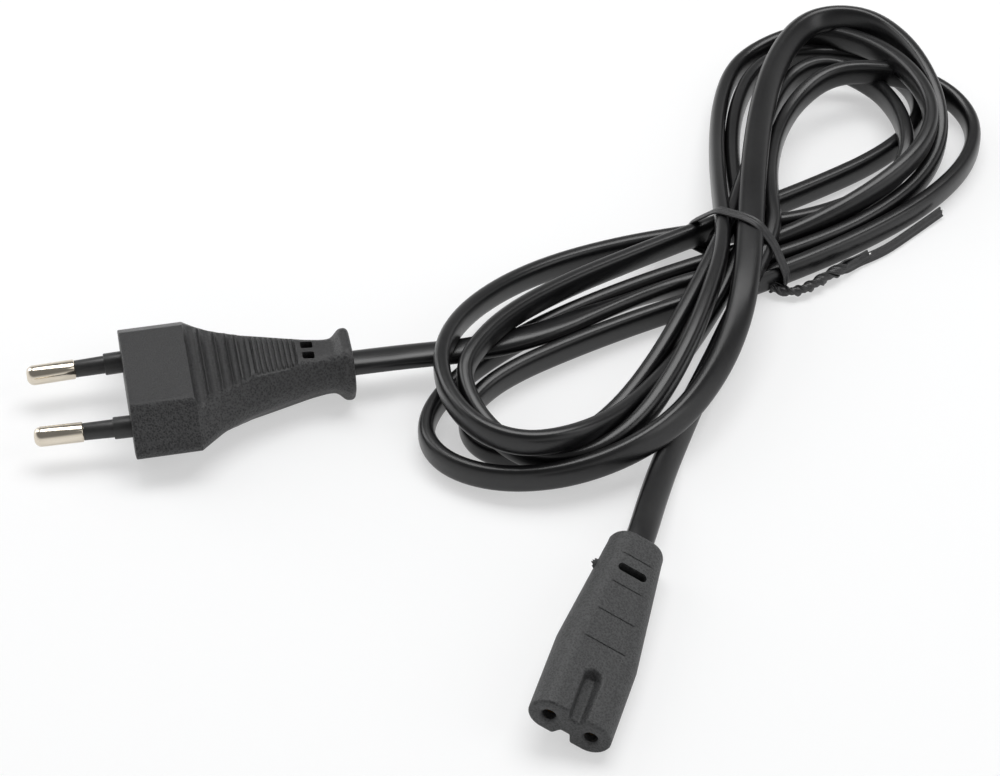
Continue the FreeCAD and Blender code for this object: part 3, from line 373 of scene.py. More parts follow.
def settle_hank(rows, steps, held_first=3, held_last=4):
    """Move the placed points so that turns lie beside and on each other."""
    start = np.array([r[:3] for r in rows], float)
    weights = line_weights(len(rows), 5)
    at_rows = np.linspace(0, len(rows) - 1, len(weights))
    turn = np.radians(np.interp(at_rows, range(len(rows)), [r[3] for r in rows]))[:, None]
    total = weights.sum(0)
    free = np.ones((len(rows), 1))
    free[:held_first] = 0
    free[-held_last:] = 0
    view = start - np.array(eye) / MM
    view /= np.linalg.norm(view, axis=1)[:, None]
    points = start.copy()
    for _ in range(steps):
        push, hit, low, high = core_pushes(weights @ points, turn)
        move = PUSH_SHARE * (weights.T @ push) / np.maximum(weights.T @ hit, FEWEST_HITS * total)[:, None]
        move[1:-1] = 0.5 * move[1:-1] + 0.25 * (move[:-2] + move[2:])
        bend = np.zeros_like(points)
        bend[1:-1] = 0.5 * (points[:-2] + points[2:]) - points[1:-1]
        reach = np.ones(len(points))
        hops = np.linalg.norm(np.diff(points, axis=0), axis=1)
        reach[1:-1] = 0.5 * (hops[1:] + hops[:-1])
        sharp = 2 * np.linalg.norm(bend, axis=1) / reach ** 2
        move += bend * (EASE_BENDS * np.clip(1 - SHARPEST / np.maximum(sharp, 1e-9), 0, 1))[:, None]
        home = start - points
        move += PULL_HOME * (home - (home * view).sum(1)[:, None] * view)
        move[:, 2] += EVEN_HEIGHT * bend[:, 2] - SINK
        points += np.clip(move, -LONGEST_MOVE, LONGEST_MOVE) * free
        sunk = np.maximum(SHEET_GAP - low, 0)
        lift = LIFT_SHARE * (weights.T @ sunk) / np.maximum(weights.T @ (sunk > 0), 0.3)
        points[:, 2] += lift * free[:, 0]
        over = np.maximum(high - PILE_TOP, 0)
        lower = LIFT_SHARE * (weights.T @ over) / np.maximum(weights.T @ (over > 0), 0.3)
        points[:, 2] -= lower * free[:, 0]
    moved = np.linalg.norm(points - start, axis=1)
    print("largest move %.1f mm, mean %.1f mm" % (moved.max(), moved.mean()))
    return [(*p, r[3]) for p, r in zip(points.tolist(), rows)]


route = settle_hank(route, SETTLE_STEPS)

# %% Run the cord's line through the points
def finished_mesh(obj):
    """Plain mesh of what an object shows, modifiers applied."""
    bpy.context.view_layer.update()
    return bpy.data.meshes.new_from_object(obj.evaluated_get(bpy.context.evaluated_depsgraph_get()))


def spline_points(places, resolution):
    """Points read from an order-3 NURBS spline that has these places as its control points."""
    curve = bpy.data.curves.new("guide", "CURVE")
    curve.dimensions = "3D"
    curve.resolution_u = resolution
    spline = curve.splines.new("NURBS")
    spline.points.add(len(places) - 1)
    for point, place in zip(spline.points, places):
        point.co = (*place, 1)
    spline.order_u = 3
    spline.use_endpoint_u = True
    guide = bpy.data.objects.new("guide", curve)
    scene.collection.objects.link(guide)
    found = [v.co.copy() for v in finished_mesh(guide).vertices]
    bpy.data.objects.remove(guide)
    return found


path = spline_points([(x * MM, y * MM, z * MM) for x, y, z, turn in route], 8)

# %% [markdown]
# ## The cord's skin
#
# The cord is flat: two cores side by side in one jacket, 5.7 by 3.4 mm, with round edges and broad
# faces that are a little crowned, which keeps its highlights soft. A bevelled curve would twist as
# it liked, so the skin is built ring by ring instead. Each ring stands across the line, turned by
# the angle given with the points, so the cord stands on its edge in the hank and lies flat where it
# goes over the top.

# %% Section of the cord, and how it is turned
def cord_section(count=32, fullness=2.7):
    """Outline of the cord, in mm: across the thin way and the wide way, with crowned broad faces."""
    outline = []
    for k in range(count):
        a = 2 * math.pi * k / count
        c, s = math.cos(a), math.sin(a)
        outline.append((CORD_THIN / 2 * math.copysign(abs(c) ** (2 / fullness), c),
                        CORD_WIDE / 2 * math.copysign(abs(s) ** (2 / fullness), s)))
    return outline


def ring_frames(points, turns):
    """Wide and thin directions of the cord at each point."""
    frames = []
    last = len(points) - 1
    for i in range(len(points)):
        ahead = (points[min(i + 1, last)] - points[max(i - 1, 0)]).normalized()
        side = Vector((0, 0, 1)).cross(ahead).normalized()
        up = ahead.cross(side)
        a = math.radians(turns[i])
        wide = up * math.cos(a) + side * math.sin(a)
        frames.append((wide, ahead.cross(wide)))
    return frames


print("section has", len(cord_section()), "points")

# %% Join rings into a skin
def ring_faces(rings, count):
    """Faces that join rings of so many points each, with both ends closed."""
    faces = []
    for i in range(rings - 1):
        for j in range(count):
            k = (j + 1) % count
            faces.append((i * count + j, i * count + k, (i + 1) * count + k, (i + 1) * count + j))
    faces.append(tuple(reversed(range(count))))
    faces.append(tuple(range((rings - 1) * count, rings * count)))
    return faces


def mesh_object(name, verts, faces):
    """Smooth mesh object in the scene."""
    mesh = bpy.data.meshes.new(name)
    mesh.from_pydata(verts, [], faces)
    mesh.validate()
    obj = bpy.data.objects.new(name, mesh)
    scene.collection.objects.link(obj)
    for polygon in mesh.polygons:
        polygon.use_smooth = True
    return obj


def skin_along(name, points, turns, section):
    """Closed skin of one section, in mm, along points in metres."""
    verts = []
    for p, (wide, thin) in zip(points, ring_frames(points, turns)):
        verts += [p + thin * (a * MM) + wide * (b * MM) for a, b in section]
    return mesh_object(name, verts, ring_faces(len(points), len(section)))


# %% Build the skin along the settled line
at_places = np.linspace(0, 1, len(route))
turns = np.interp(np.linspace(0, 1, len(path)), at_places, [p[3] for p in route])
cord = skin_along("cord", path, turns, cord_section())
print("cord skin has %d faces" % len(cord.data.polygons))

# %% [markdown]
# ## Shared surface effects
#
# The connector and the plug are moulded in the same soft plastic, whose tool was etched by sparks:
# the skin is matt with a very fine random grain. The grain, the dust that such plastic catches and
# the wear on metal turn up in more than one finish, so each is a node group, built once and placed
# in a material with its own values. A group only puts out masks and heights. The shader, and every
# number that is the same all over a piece, stays in the material.

# %% Group: spark grain
def new_group(name, inputs, outputs):
    """Shader node group with these inputs and outputs, all plain numbers."""
    group = bpy.data.node_groups.new(name, "ShaderNodeTree")
    for title, value in inputs:
        socket = group.interface.new_socket(title, in_out="INPUT", socket_type="NodeSocketFloat")
        socket.default_value = value
    for title in outputs:
        group.interface.new_socket(title, in_out="OUTPUT", socket_type="NodeSocketFloat")
    return group, group.nodes.new("NodeGroupInput"), group.nodes.new("NodeGroupOutput")


spark_grain, given, put = new_group("spark_grain", [("Pits per metre", 3000.0), ("Patches per metre", 90.0)],
                                    ["Height", "Tone", "Speckle"])
where = new_node(spark_grain, "ShaderNodeTexCoord").outputs["Object"]
pits = new_node(spark_grain, "ShaderNodeTexNoise", {"Detail": 3.0})
cells = new_node(spark_grain, "ShaderNodeTexVoronoi")
patches = new_node(spark_grain, "ShaderNodeTexNoise", {"Detail": 2.0})
contrast = new_node(spark_grain, "ShaderNodeMapRange", {"From Min": 0.36, "From Max": 0.6})
link = spark_grain.links.new
for texture in (pits, cells, patches):
    link(where, texture.inputs["Vector"])
link(given.outputs["Pits per metre"], pits.inputs["Scale"])
link(math_node(spark_grain, "MULTIPLY", given.outputs["Pits per metre"], 0.6), cells.inputs["Scale"])
link(given.outputs["Patches per metre"], patches.inputs["Scale"])
grain_height = math_node(spark_grain, "ADD", math_node(spark_grain, "MULTIPLY", pits.outputs["Fac"], 0.6),
                         math_node(spark_grain, "MULTIPLY", cells.outputs["Distance"], 0.4))
link(grain_height, put.inputs["Height"])
link(grain_height, contrast.inputs["Value"])
link(contrast.outputs["Result"], put.inputs["Speckle"])
link(patches.outputs["Fac"], put.inputs["Tone"])
print("group", spark_grain.name, [i.name for i in spark_grain.interface.items_tree])

# %% Group: caught dust
caught_dust, given, put = new_group(
    "caught_dust", [("Specks per metre", 260.0), ("Speck size", 0.07), ("How rare", 0.7)], ["Mask"])
where = new_node(caught_dust, "ShaderNodeTexCoord").outputs["Object"]
specks = new_node(caught_dust, "ShaderNodeTexVoronoi")
chance = new_node(caught_dust, "ShaderNodeSeparateColor")
link = caught_dust.links.new
link(where, specks.inputs["Vector"])
link(given.outputs["Specks per metre"], specks.inputs["Scale"])
link(specks.outputs["Color"], chance.inputs["Color"])
small = math_node(caught_dust, "LESS_THAN", specks.outputs["Distance"], given.outputs["Speck size"])
rare = math_node(caught_dust, "GREATER_THAN", chance.outputs[0], given.outputs["How rare"])
link(math_node(caught_dust, "MULTIPLY", small, rare), put.inputs["Mask"])
print("group", caught_dust.name, [i.name for i in caught_dust.interface.items_tree])

# %% Group: drawn metal
drawn_metal, given, put = new_group("drawn_metal", [("Lines per metre", 4000.0), ("Direction", 0.0)],
                                    ["Height", "Tone", "Speckle"])
where = new_node(drawn_metal, "ShaderNodeTexCoord").outputs["Object"]
turned = new_node(drawn_metal, "ShaderNodeVectorRotate", rotation_type="Z_AXIS")
stretched = new_node(drawn_metal, "ShaderNodeVectorMath", {1: (0.04, 1.0, 1.0)}, operation="MULTIPLY")
lines = new_node(drawn_metal, "ShaderNodeTexNoise", {"Detail": 2.0})
clouds = new_node(drawn_metal, "ShaderNodeTexNoise", {"Scale": 220.0})
link = drawn_metal.links.new
link(where, turned.inputs["Vector"])
link(given.outputs["Direction"], turned.inputs["Angle"])
link(turned.outputs["Vector"], stretched.inputs[0])
link(stretched.outputs["Vector"], lines.inputs["Vector"])
link(given.outputs["Lines per metre"], lines.inputs["Scale"])
link(where, clouds.inputs["Vector"])
link(lines.outputs["Fac"], put.inputs["Height"])
link(lines.outputs["Fac"], put.inputs["Speckle"])
link(clouds.outputs["Fac"], put.inputs["Tone"])
print("group", drawn_metal.name, [i.name for i in drawn_metal.interface.items_tree])

# %% [markdown]
# ## Finishes
#
# Three black plastics lie side by side and differ mostly in gloss: the cord's jacket is smooth and
# shiny, the plug is satin, and the connector is greyer and matt. A finish is
# made from a dark and a light shade of its colour, mixed by the slow tone of the grain, with light
# dust over it, and a bump from the grain's height. The roughness wanders a little with the tone.
# The plug also gets a painted sheen: wherever its surface leans away from level, the grain turns
# lighter, standing in for light caught on the sloping faces, while its level top and underside keep the plain
# colour.

# %% Parts of a finish
def mixed_colour(tree, amount, one, other):
    """Mix of two colours, each a link or three numbers."""
    node = new_node(tree, "ShaderNodeMix", data_type="RGBA")
    tree.links.new(amount, node.inputs[0])
    for socket, colour in ((node.inputs[6], one), (node.inputs[7], other)):
        if isinstance(colour, tuple):
            socket.default_value = (*colour, 1)
        else:
            tree.links.new(colour, socket)
    return node.outputs[2]


# Mask of the sloping faces, where the plug's painted sheen goes
def slope_mask(tree):
    """One where the surface leans away from level, nought on a level top or underside."""
    facing = new_node(tree, "ShaderNodeTexCoord")
    parts = new_node(tree, "ShaderNodeSeparateXYZ")
    tilt = new_node(tree, "ShaderNodeMapRange", {"From Min": 0.97, "From Max": 0.86})
    tree.links.new(facing.outputs["Normal"], parts.inputs["Vector"])
    tree.links.new(math_node(tree, "ABSOLUTE", parts.outputs["Z"]), tilt.inputs["Value"])
    return tilt.outputs["Result"]


# %% Recipe for a finish
DUST_COLOUR = (0.5, 0.5, 0.48)
FINISHES = {}


def finish(name, dark, light, roughness, wander, grain, bump, bump_depth=0.00002,
           dust=None, slope_sheen=None, **shader_values):
    """Add a material to FINISHES: one grain group, and dust and a painted sheen on sloping faces if given."""
    material, tree = plain_material(name)
    link = tree.links.new
    shader = new_node(tree, "ShaderNodeBsdfPrincipled",
                      {title.replace("_", " "): value for title, value in shader_values.items()})
    out = new_node(tree, "ShaderNodeOutputMaterial")
    link(shader.outputs["BSDF"], out.inputs["Surface"])
    group, values = grain
    effect = new_node(tree, "ShaderNodeGroup", values, node_tree=group)
    tone, speckle = effect.outputs["Tone"], effect.outputs["Speckle"]
    blend = math_node(tree, "ADD", math_node(tree, "MULTIPLY", tone, 0.4),
                      math_node(tree, "MULTIPLY", speckle, 0.6))
    colour = mixed_colour(tree, blend, dark, light)
    # Painted sheen: a lighter grain on sloping faces, standing in for the light they catch
    if slope_sheen:
        sheen_fleck = math_node(tree, "MULTIPLY", slope_mask(tree), speckle)
        colour = mixed_colour(tree, sheen_fleck, colour, slope_sheen)
    if dust:
        specks = new_node(tree, "ShaderNodeGroup", dust, node_tree=caught_dust)
        thin_dust = math_node(tree, "MULTIPLY", specks.outputs["Mask"], 0.5)
        colour = mixed_colour(tree, thin_dust, colour, DUST_COLOUR)
    link(colour, shader.inputs["Base Color"])
    uneven = math_node(tree, "MULTIPLY", tone, 2 * wander)
    link(math_node(tree, "ADD", uneven, roughness - wander), shader.inputs["Roughness"])
    relief = new_node(tree, "ShaderNodeBump", {"Strength": bump, "Distance": bump_depth})
    link(effect.outputs["Height"], relief.inputs["Height"])
    link(relief.outputs["Normal"], shader.inputs["Normal"])
    FINISHES[name] = material


# %% Mix the black finishes
LINT = {"Specks per metre": 170.0, "Speck size": 0.028, "How rare": 0.86}


def spark(pits, patches):
    """The etched grain, with its pits and its patches per metre."""
    return spark_grain, {"Pits per metre": pits, "Patches per metre": patches}


def drawn(lines, direction):
    """Drawing lines on metal, per metre, at an angle from X."""
    return drawn_metal, {"Lines per metre": lines, "Direction": direction}


finish("cord_jacket", (0.0035, 0.0035, 0.004), (0.007, 0.007, 0.0075), 0.3, 0.05,
       spark(900.0, 60.0), 0.12, dust=LINT, Specular_IOR_Level=0.5)
finish("connector_matt", (0.004, 0.0045, 0.005), (0.058, 0.059, 0.06), 0.56, 0.1,
       spark(3700.0, 80.0), 1.0, 0.00016, dust=LINT)
# The plug's lighter colour on its sloping faces is a painted sheen
finish("plug_satin", (0.007, 0.007, 0.0075), (0.019, 0.019, 0.02), 0.48, 0.08,
       spark(3600.0, 110.0), 1.0, 0.00013, dust=LINT, slope_sheen=(0.045, 0.045, 0.046), Specular_IOR_Level=0.42)
finish("sleeve_smooth", (0.014, 0.014, 0.014), (0.022, 0.022, 0.022), 0.4, 0.05, spark(1500.0, 120.0), 0.15)
finish("holder_hard", (0.02, 0.02, 0.02), (0.032, 0.032, 0.032), 0.45, 0.05, spark(2000.0, 100.0), 0.2)
finish("tie_coat", (0.016, 0.016, 0.017), (0.026, 0.026, 0.027), 0.42, 0.06,
       spark(1200.0, 200.0), 0.2, 0.00003)
print("black finishes", sorted(FINISHES))

# %% Mix the metals and the coloured cores
ALONG_Y = 1.5708
finish("pin_plate", (0.60, 0.53, 0.43), (0.80, 0.74, 0.64), 0.14, 0.04,
       drawn(5000.0, -PLUG_YAW), 0.08, 0.00001, Metallic=1.0)
finish("tie_steel", (0.42, 0.42, 0.42), (0.56, 0.56, 0.55), 0.35, 0.06,
       drawn(6000.0, 0.0), 0.1, 0.00001, Metallic=1.0)
finish("contact_brass", (0.52, 0.36, 0.12), (0.74, 0.56, 0.24), 0.28, 0.07,
       drawn(3000.0, ALONG_Y), 0.1, 0.00001, Metallic=1.0)
finish("core_copper", (0.60, 0.27, 0.15), (0.80, 0.42, 0.27), 0.3, 0.06,
       drawn(5000.0, ALONG_Y), 0.2, 0.00001, Metallic=1.0)
finish("core_blue", (0.02, 0.10, 0.38), (0.03, 0.14, 0.46), 0.45, 0.05, spark(1500.0, 150.0), 0.15)
finish("core_brown", (0.13, 0.05, 0.02), (0.18, 0.075, 0.03), 0.45, 0.05, spark(1500.0, 150.0), 0.15)
print("finishes", sorted(FINISHES))

# %% Dress the CAD pieces that stay in sight
INSIDE = {
    "connector_insert": "holder_hard", "plug_bridge": "holder_hard",
    "contact_socket_left": "contact_brass", "contact_socket_right": "contact_brass",
    "connector_core_left": "core_blue", "plug_core_left": "core_blue",
    "connector_core_right": "core_brown", "plug_core_right": "core_brown",
    "connector_strands_left": "core_copper", "connector_strands_right": "core_copper",
    "plug_strands_left": "core_copper", "plug_strands_right": "core_copper",
}
for name, look in INSIDE.items():
    for slot in nodes[name].material_slots:
        slot.material = FINISHES[look]
    for polygon in nodes[name].data.polygons:
        polygon.use_smooth = True
print("dressed", len(INSIDE), "pieces that lie inside the mouldings")

# %% Helper that closes a piece
def close_piece(obj, look, sharp=32):
    """Turn the faces outwards, keep sharp edges sharp, and give the piece its finish."""
    shape = bmesh.new()
    shape.from_mesh(obj.data)
    bmesh.ops.remove_doubles(shape, verts=shape.verts, dist=1e-7)
    bmesh.ops.recalc_face_normals(shape, faces=shape.faces)
    shape.to_mesh(obj.data)
    shape.free()
    for polygon in obj.data.polygons:
        polygon.use_smooth = True
    obj.data.set_sharp_from_angle(angle=math.radians(sharp))
    obj.data.materials.clear()
    obj.data.materials.append(FINISHES[look])
    print(obj.name, "has", len(obj.data.polygons), "faces")
    return obj


# %% Finish the cord
close_piece(cord, "cord_jacket", 60)

# %% [markdown]
# ## The connector
#
# The moulding is a racetrack in section and narrows towards the cord, like a wedge seen from above.
# Its skin is made ring by ring from the nose to the cord. On the way each ring is pressed in where
# the real piece has the key groove and the thin engraved lines, so they share one skin with no
# seams. Rings stand close together where there is something small to show. The two holes in the
# nose and the slots go in last, because they have steep walls: their cutters are a turned one and
# a plate with round ends.

# %% Outline of the connector
NOSE_LONG = 46.0
HALF_THICK = 3.95
SIDE_ROUND = 3.9
NOSE_EDGE, CORD_END_EDGE = 0.55, 1.7


def connector_half_width(y):
    """Half the width at y: full at the nose, then narrowing to the cord's end."""
    return float(np.interp(y, [0, 17.5, 43.8, NOSE_LONG], [8.15, 8.15, 5.57, 5.57]))


def end_inset(y):
    """How far the skin pulls in at the rounded edges of the nose and of the cord's end."""
    if y < NOSE_EDGE:
        return NOSE_EDGE - math.sqrt(max(NOSE_EDGE ** 2 - (NOSE_EDGE - y) ** 2, 0))
    if y > NOSE_LONG - CORD_END_EDGE:
        past = y - NOSE_LONG + CORD_END_EDGE
        return CORD_END_EDGE - math.sqrt(max(CORD_END_EDGE ** 2 - past ** 2, 0))
    return 0.0


def ease(t):
    """Smooth step from nought to one."""
    t = min(max(t, 0.0), 1.0)
    return t * t * (3 - 2 * t)


print("connector's half width", connector_half_width(0), "to", connector_half_width(NOSE_LONG))

# %% What is pressed into the connector's faces
KEY_LONG, KEY_HALF, KEY_FLOOR, KEY_DEEP = 11.5, 2.05, 0.75, 1.9
# place along the connector, and half the line's length across it
LINES = [(17.5, 4.45), (24.7, 4.0), (32.1, 3.55), (39.5, 3.05)]
LINE_HALF, LINE_DEEP, LINE_FADE = 0.15, 0.2, 0.4


def pressed_in(x, y, top):
    """Depth of the marks at a place on the flat face, in mm."""
    from_key = abs(x) if y < KEY_LONG - KEY_HALF else math.hypot(x, y - KEY_LONG + KEY_HALF)
    depth = KEY_DEEP * ease((KEY_HALF - from_key) / (KEY_HALF - KEY_FLOOR))
    if top:
        for at, half in LINES:
            if abs(x) < half and abs(y - at) < LINE_HALF:
                fade = min(1, (half - abs(x)) / LINE_FADE)
                depth = max(depth, LINE_DEEP * (1 - abs(y - at) / LINE_HALF) * fade)
    return depth


print("key groove %.1f mm deep, %d engraved lines" % (KEY_DEEP, len(LINES)))

# %% Helpers that build from rings
def rings_to_mesh(name, rings):
    """Closed mesh from rings of world points in mm, each with the same number of points."""
    verts = [Vector(p) * MM for ring in rings for p in ring]
    return mesh_object(name, verts, ring_faces(len(rings), len(rings[0])))


def lathe(name, profile, place, sides=48):
    """Turned piece: rows of (along, radius) put in the world by place(along, across, up)."""
    rings = []
    for along, radius in profile:
        angles = [2 * math.pi * k / sides for k in range(sides)]
        rings.append([place(along, radius * math.cos(a), radius * math.sin(a)) for a in angles])
    return rings_to_mesh(name, rings)


# %% Rings of the connector
def connector_place(x, y, z):
    """A place in the connector's own frame, in mm: y from the nose to the cord."""
    return (x * math.cos(LEAN) + z * math.sin(LEAN), y - NOSE_LONG / 2,
            CONNECTOR_REST - x * math.sin(LEAN) + z * math.cos(LEAN))


def connector_ring(y):
    """One ring of the skin: the top, the left side, the underside and the right side."""
    inset = end_inset(y)
    w = connector_half_width(y) - inset
    h = HALF_THICK - inset
    r = SIDE_ROUND - inset
    ring = []
    for top in (1, -1):
        flat = w - r
        for k in range(44):
            x = top * flat * (1 - 2 * k / 43)
            ring.append((x, top * (h - pressed_in(x, y, top > 0))))
        for k in range(1, 22):
            a = math.pi * k / 22
            seam = 0.05 if k == 11 else 0.0
            x = -top * (flat + (r + seam) * math.sin(a))
            z = top * r * math.cos(a)
            near_side = pressed_in(x, y, top > 0) * max(math.cos(a), 0) ** 2
            far_side = pressed_in(x, y, top < 0) * max(-math.cos(a), 0) ** 2
            z -= top * (near_side - far_side)
            ring.append((x, z + top * (h - r) * math.cos(a)))
    return [connector_place(x, y, z) for x, z in ring]


stations = set(np.arange(0, NOSE_LONG + 0.01, 0.5).round(3).tolist())
stations |= {0.04, 0.12, 0.25, 0.4} | {NOSE_LONG - s for s in (0.03, 0.12, 0.27, 0.7, 0.9, 1.2)}
stations |= set(np.arange(9.0, 11.8, 0.15).round(3).tolist())
for at, half in LINES:
    stations |= {round(at + d, 3) for d in (-0.3, -0.15, -0.075, 0, 0.075, 0.15, 0.3)}
connector = rings_to_mesh("connector_moulding", [connector_ring(y) for y in sorted(stations)])
print("connector rings", len(stations))

# %% Helpers for cutting
def outward(obj):
    """Turn the faces outwards."""
    shape = bmesh.new()
    shape.from_mesh(obj.data)
    bmesh.ops.recalc_face_normals(shape, faces=shape.faces)
    shape.to_mesh(obj.data)
    shape.free()
    return obj


def cut_out(obj, cutter):
    """Take the cutter's space out of a piece, and drop the cutter."""
    knife = obj.modifiers.new("cut", "BOOLEAN")
    knife.operation = "DIFFERENCE"
    knife.solver = "EXACT"
    knife.object = cutter
    whole = finished_mesh(obj)
    obj.modifiers.clear()
    obj.data = whole
    bpy.data.objects.remove(cutter)


# %% Bore the two holes
HOLE_OUT = 4.3
# along from the nose, and radius: a bevelled rim, the bore, then room for the contact
BORE = [(-0.5, 2.3), (0.0, 1.78), (0.2, 1.5), (0.45, 1.3), (2.1, 1.3), (2.1, 1.74), (14.9, 1.74)]
for hole in (-HOLE_OUT, HOLE_OUT):
    bore = lathe("bore", BORE, lambda s, a, b, hole=hole: connector_place(hole + a, s, b), 40)
    cut_out(connector, outward(bore))
print("bored", len(connector.data.polygons), "faces")

# %% Cut the slots above and below
SLOT_AT, SLOT_HALF, SLOT_ROUND = 36.1, 3.0, 0.95
# from the slot's floor to clear of the skin
SLOT_LEVELS = [(1.9, 5.0), (-5.0, -1.9)]


def round_plate(name, half_x, half_y, corner, levels, place):
    """Plate with round corners between two levels, put in the world by place(x, y, level)."""
    rings = []
    for level in levels:
        ring = []
        for k in range(32):
            t = 2 * math.pi * (k + 0.5) / 32
            ring.append(place(math.copysign(half_x - corner, math.cos(t)) + corner * math.cos(t),
                              math.copysign(half_y - corner, math.sin(t)) + corner * math.sin(t), level))
        rings.append(ring)
    return outward(rings_to_mesh(name, rings))


for levels in SLOT_LEVELS:
    cut_out(connector, round_plate("slot", SLOT_HALF, SLOT_ROUND, SLOT_ROUND - 0.01, levels,
                                   lambda x, y, z: connector_place(x, SLOT_AT + y, z)))
close_piece(connector, "connector_matt", 38)

# %% A torn bit of flash on the connector's side
FLASH_HALF = 0.07
flash_points = [(-5.9, 35.4, 0), (-6.9, 35.9, 0.3), (-6.75, 36.4, 0.2), (-7.35, 36.7, 0.4), (-6.8, 37.0, 0.2),
                (-7.1, 37.6, -0.1), (-6.6, 37.7, 0), (-6.75, 38.3, -0.2), (-5.7, 38.4, 0)]
flash_rings = [[connector_place(x, y, z + s) for x, y, z in flash_points] for s in (-FLASH_HALF, FLASH_HALF)]
flash = close_piece(rings_to_mesh("connector_flash", flash_rings), "connector_matt")

# %% [markdown]
# ## The plug
#
# The plug is a faceted block that narrows to a neck and flares out to a collar round the cord. Its
# section is an eight-sided figure: a flat top and bottom, sloping sides and a thin rim. The skin is
# again made ring by ring. The five grip grooves are round troughs across the top and bottom, so
# inside each one the skin is simply held under a trough's height. The corners get rounder towards
# the neck, as they do on the real moulding.

# %% Sizes along the plug
PLUG_LONG = 45.0
# x, half the top's width, half the rim's width, half height, half the rim's height
PLUG_ROWS = np.array([
    (0.0, 10.5, 18.0, 6.8, 0.75), (12.9, 10.5, 18.0, 6.8, 0.75), (18.0, 7.9, 13.3, 6.5, 1.05),
    (24.0, 5.9, 9.6, 6.2, 1.35), (30.5, 4.5, 7.3, 5.9, 1.35), (36.0, 3.55, 5.75, 5.35, 1.1),
    (39.5, 3.3, 5.3, 4.95, 1.0), (41.3, 3.35, 5.4, 4.95, 1.0), (42.1, 3.75, 6.0, 5.4, 1.1),
    (42.9, 4.5, 7.05, 6.4, 1.3), (PLUG_LONG, 4.5, 7.0, 6.4, 1.3),
])
STEP, SOFTNESS = 0.1, 0.5
BLOCK_END, BLEND_LONG = 13.2, 1.2
fine = np.arange(-4, PLUG_LONG + 4, STEP)
bell = np.exp(-0.5 * (np.arange(-30, 31) * STEP / SOFTNESS) ** 2)
# the block keeps its sharp rows, and the neck takes the softened ones
neck_share = np.clip((fine - BLOCK_END) / BLEND_LONG, 0, 1)
smooth_rows = []
for column in range(1, 5):
    exact = np.interp(fine, PLUG_ROWS[:, 0], PLUG_ROWS[:, column])
    soft = np.convolve(np.pad(exact, 30, mode="edge"), bell / bell.sum(), mode="valid")
    smooth_rows.append(exact * (1 - neck_share) + soft * neck_share)


def plug_sizes(x):
    """The four sizes of the section at x, in the rows' order."""
    return [float(np.interp(x, fine, row)) for row in smooth_rows]


print("neck at 30 mm", [round(v, 2) for v in plug_sizes(30.0)])

# %% Troughs and fine grooves
# place along the plug, height of the trough's floor, half its width
GRIPS = [(14.15, 5.2, 1.35), (17.1, 5.2, 1.2), (19.65, 5.25, 0.95), (21.65, 5.3, 0.75), (23.6, 5.35, 0.68)]
FINE_FROM, FINE_TO = 25.12, 34.1
FINE_FLOORS = [5.6, 4.92]
FINE_EDGE = 0.3


def held_under(x, high):
    """Height that the skin may reach at x."""
    top = high
    for at, floor, half in GRIPS:
        d = abs(x - at) / (half + 0.1)
        if d < 1:
            top = min(top, floor + (high - floor) * (1 - math.sqrt(1 - d * d)))
    if FINE_FROM < x < FINE_TO:
        floor = float(np.interp(x, [FINE_FROM, FINE_TO], FINE_FLOORS))
        edge = min(x - FINE_FROM, FINE_TO - x)
        top = min(top, floor + (high - floor) * max(0, 1 - edge / FINE_EDGE))
    return top


print("grip grooves", len(GRIPS))

# %% Section of the plug
def plug_section(x, inset=0.0):
    """Rounded eight-sided outline at x: rows of y and z."""
    top, rim, high, edge = plug_sizes(x)
    soft = float(np.interp(x, [0, 13, 20, 30, 40, 45], [0.45, 0.6, 1.0, 1.5, 1.9, 2.2]))
    y_scale = (rim - inset) / rim
    z_scale = (high - inset) / high
    corners = [(top, high), (-top, high), (-rim, edge), (-rim, -edge),
               (-top, -high), (top, -high), (rim, -edge), (rim, edge)]
    cuts = [soft, soft, min(0.9, edge * 0.85), min(0.9, edge * 0.85)] * 2
    samples = [44, 12, 3, 12, 44, 12, 3, 12]
    outline = []
    for i in range(8):
        before, here, after = (Vector(corners[(i + j) % 8]) for j in (-1, 0, 1))
        start = here + (before - here).normalized() * cuts[i]
        end = here + (after - here).normalized() * cuts[i]
        for k in range(7):
            t = k / 6
            outline.append(start * (1 - t) ** 2 + here * 2 * t * (1 - t) + end * t * t)
        stop = after + (here - after).normalized() * cuts[(i + 1) % 8]
        for k in range(1, samples[i]):
            outline.append(end.lerp(stop, k / samples[i]))
    return [(p.x * y_scale, p.y * z_scale) for p in outline]


print("section of the plug has", len(plug_section(30.0)), "points")

# %% Rings of the plug
FACE_EDGE, COLLAR_EDGE = 0.3, 0.9


def plug_ring(x):
    """One ring of the skin, with the grooves held under and both ends rounded."""
    inset = 0.0
    for edge, radius in ((x, FACE_EDGE), (PLUG_LONG - x, COLLAR_EDGE)):
        if edge < radius:
            inset = radius - math.sqrt(max(radius ** 2 - (radius - edge) ** 2, 0))
    high = plug_sizes(x)[2] - inset
    top = held_under(x, high)
    ring = []
    for y, z in plug_section(x, inset):
        ring.append(at_plug(x, y, math.copysign(min(abs(z), top), z)))
    return ring


stations = set(np.arange(0, PLUG_LONG + 0.01, 0.3).round(3).tolist())
stations |= set(np.arange(12.6, 24.6, 0.12).round(3).tolist())
stations |= {0.03, 0.08, 0.16, 44.4, 44.6, 44.75, 44.85, 44.92, 44.98, 25.15, 25.3, 34.0, 33.9}
plug = outward(rings_to_mesh("plug_moulding", [plug_ring(x) for x in sorted(stations)]))
print("plug rings", len(stations))

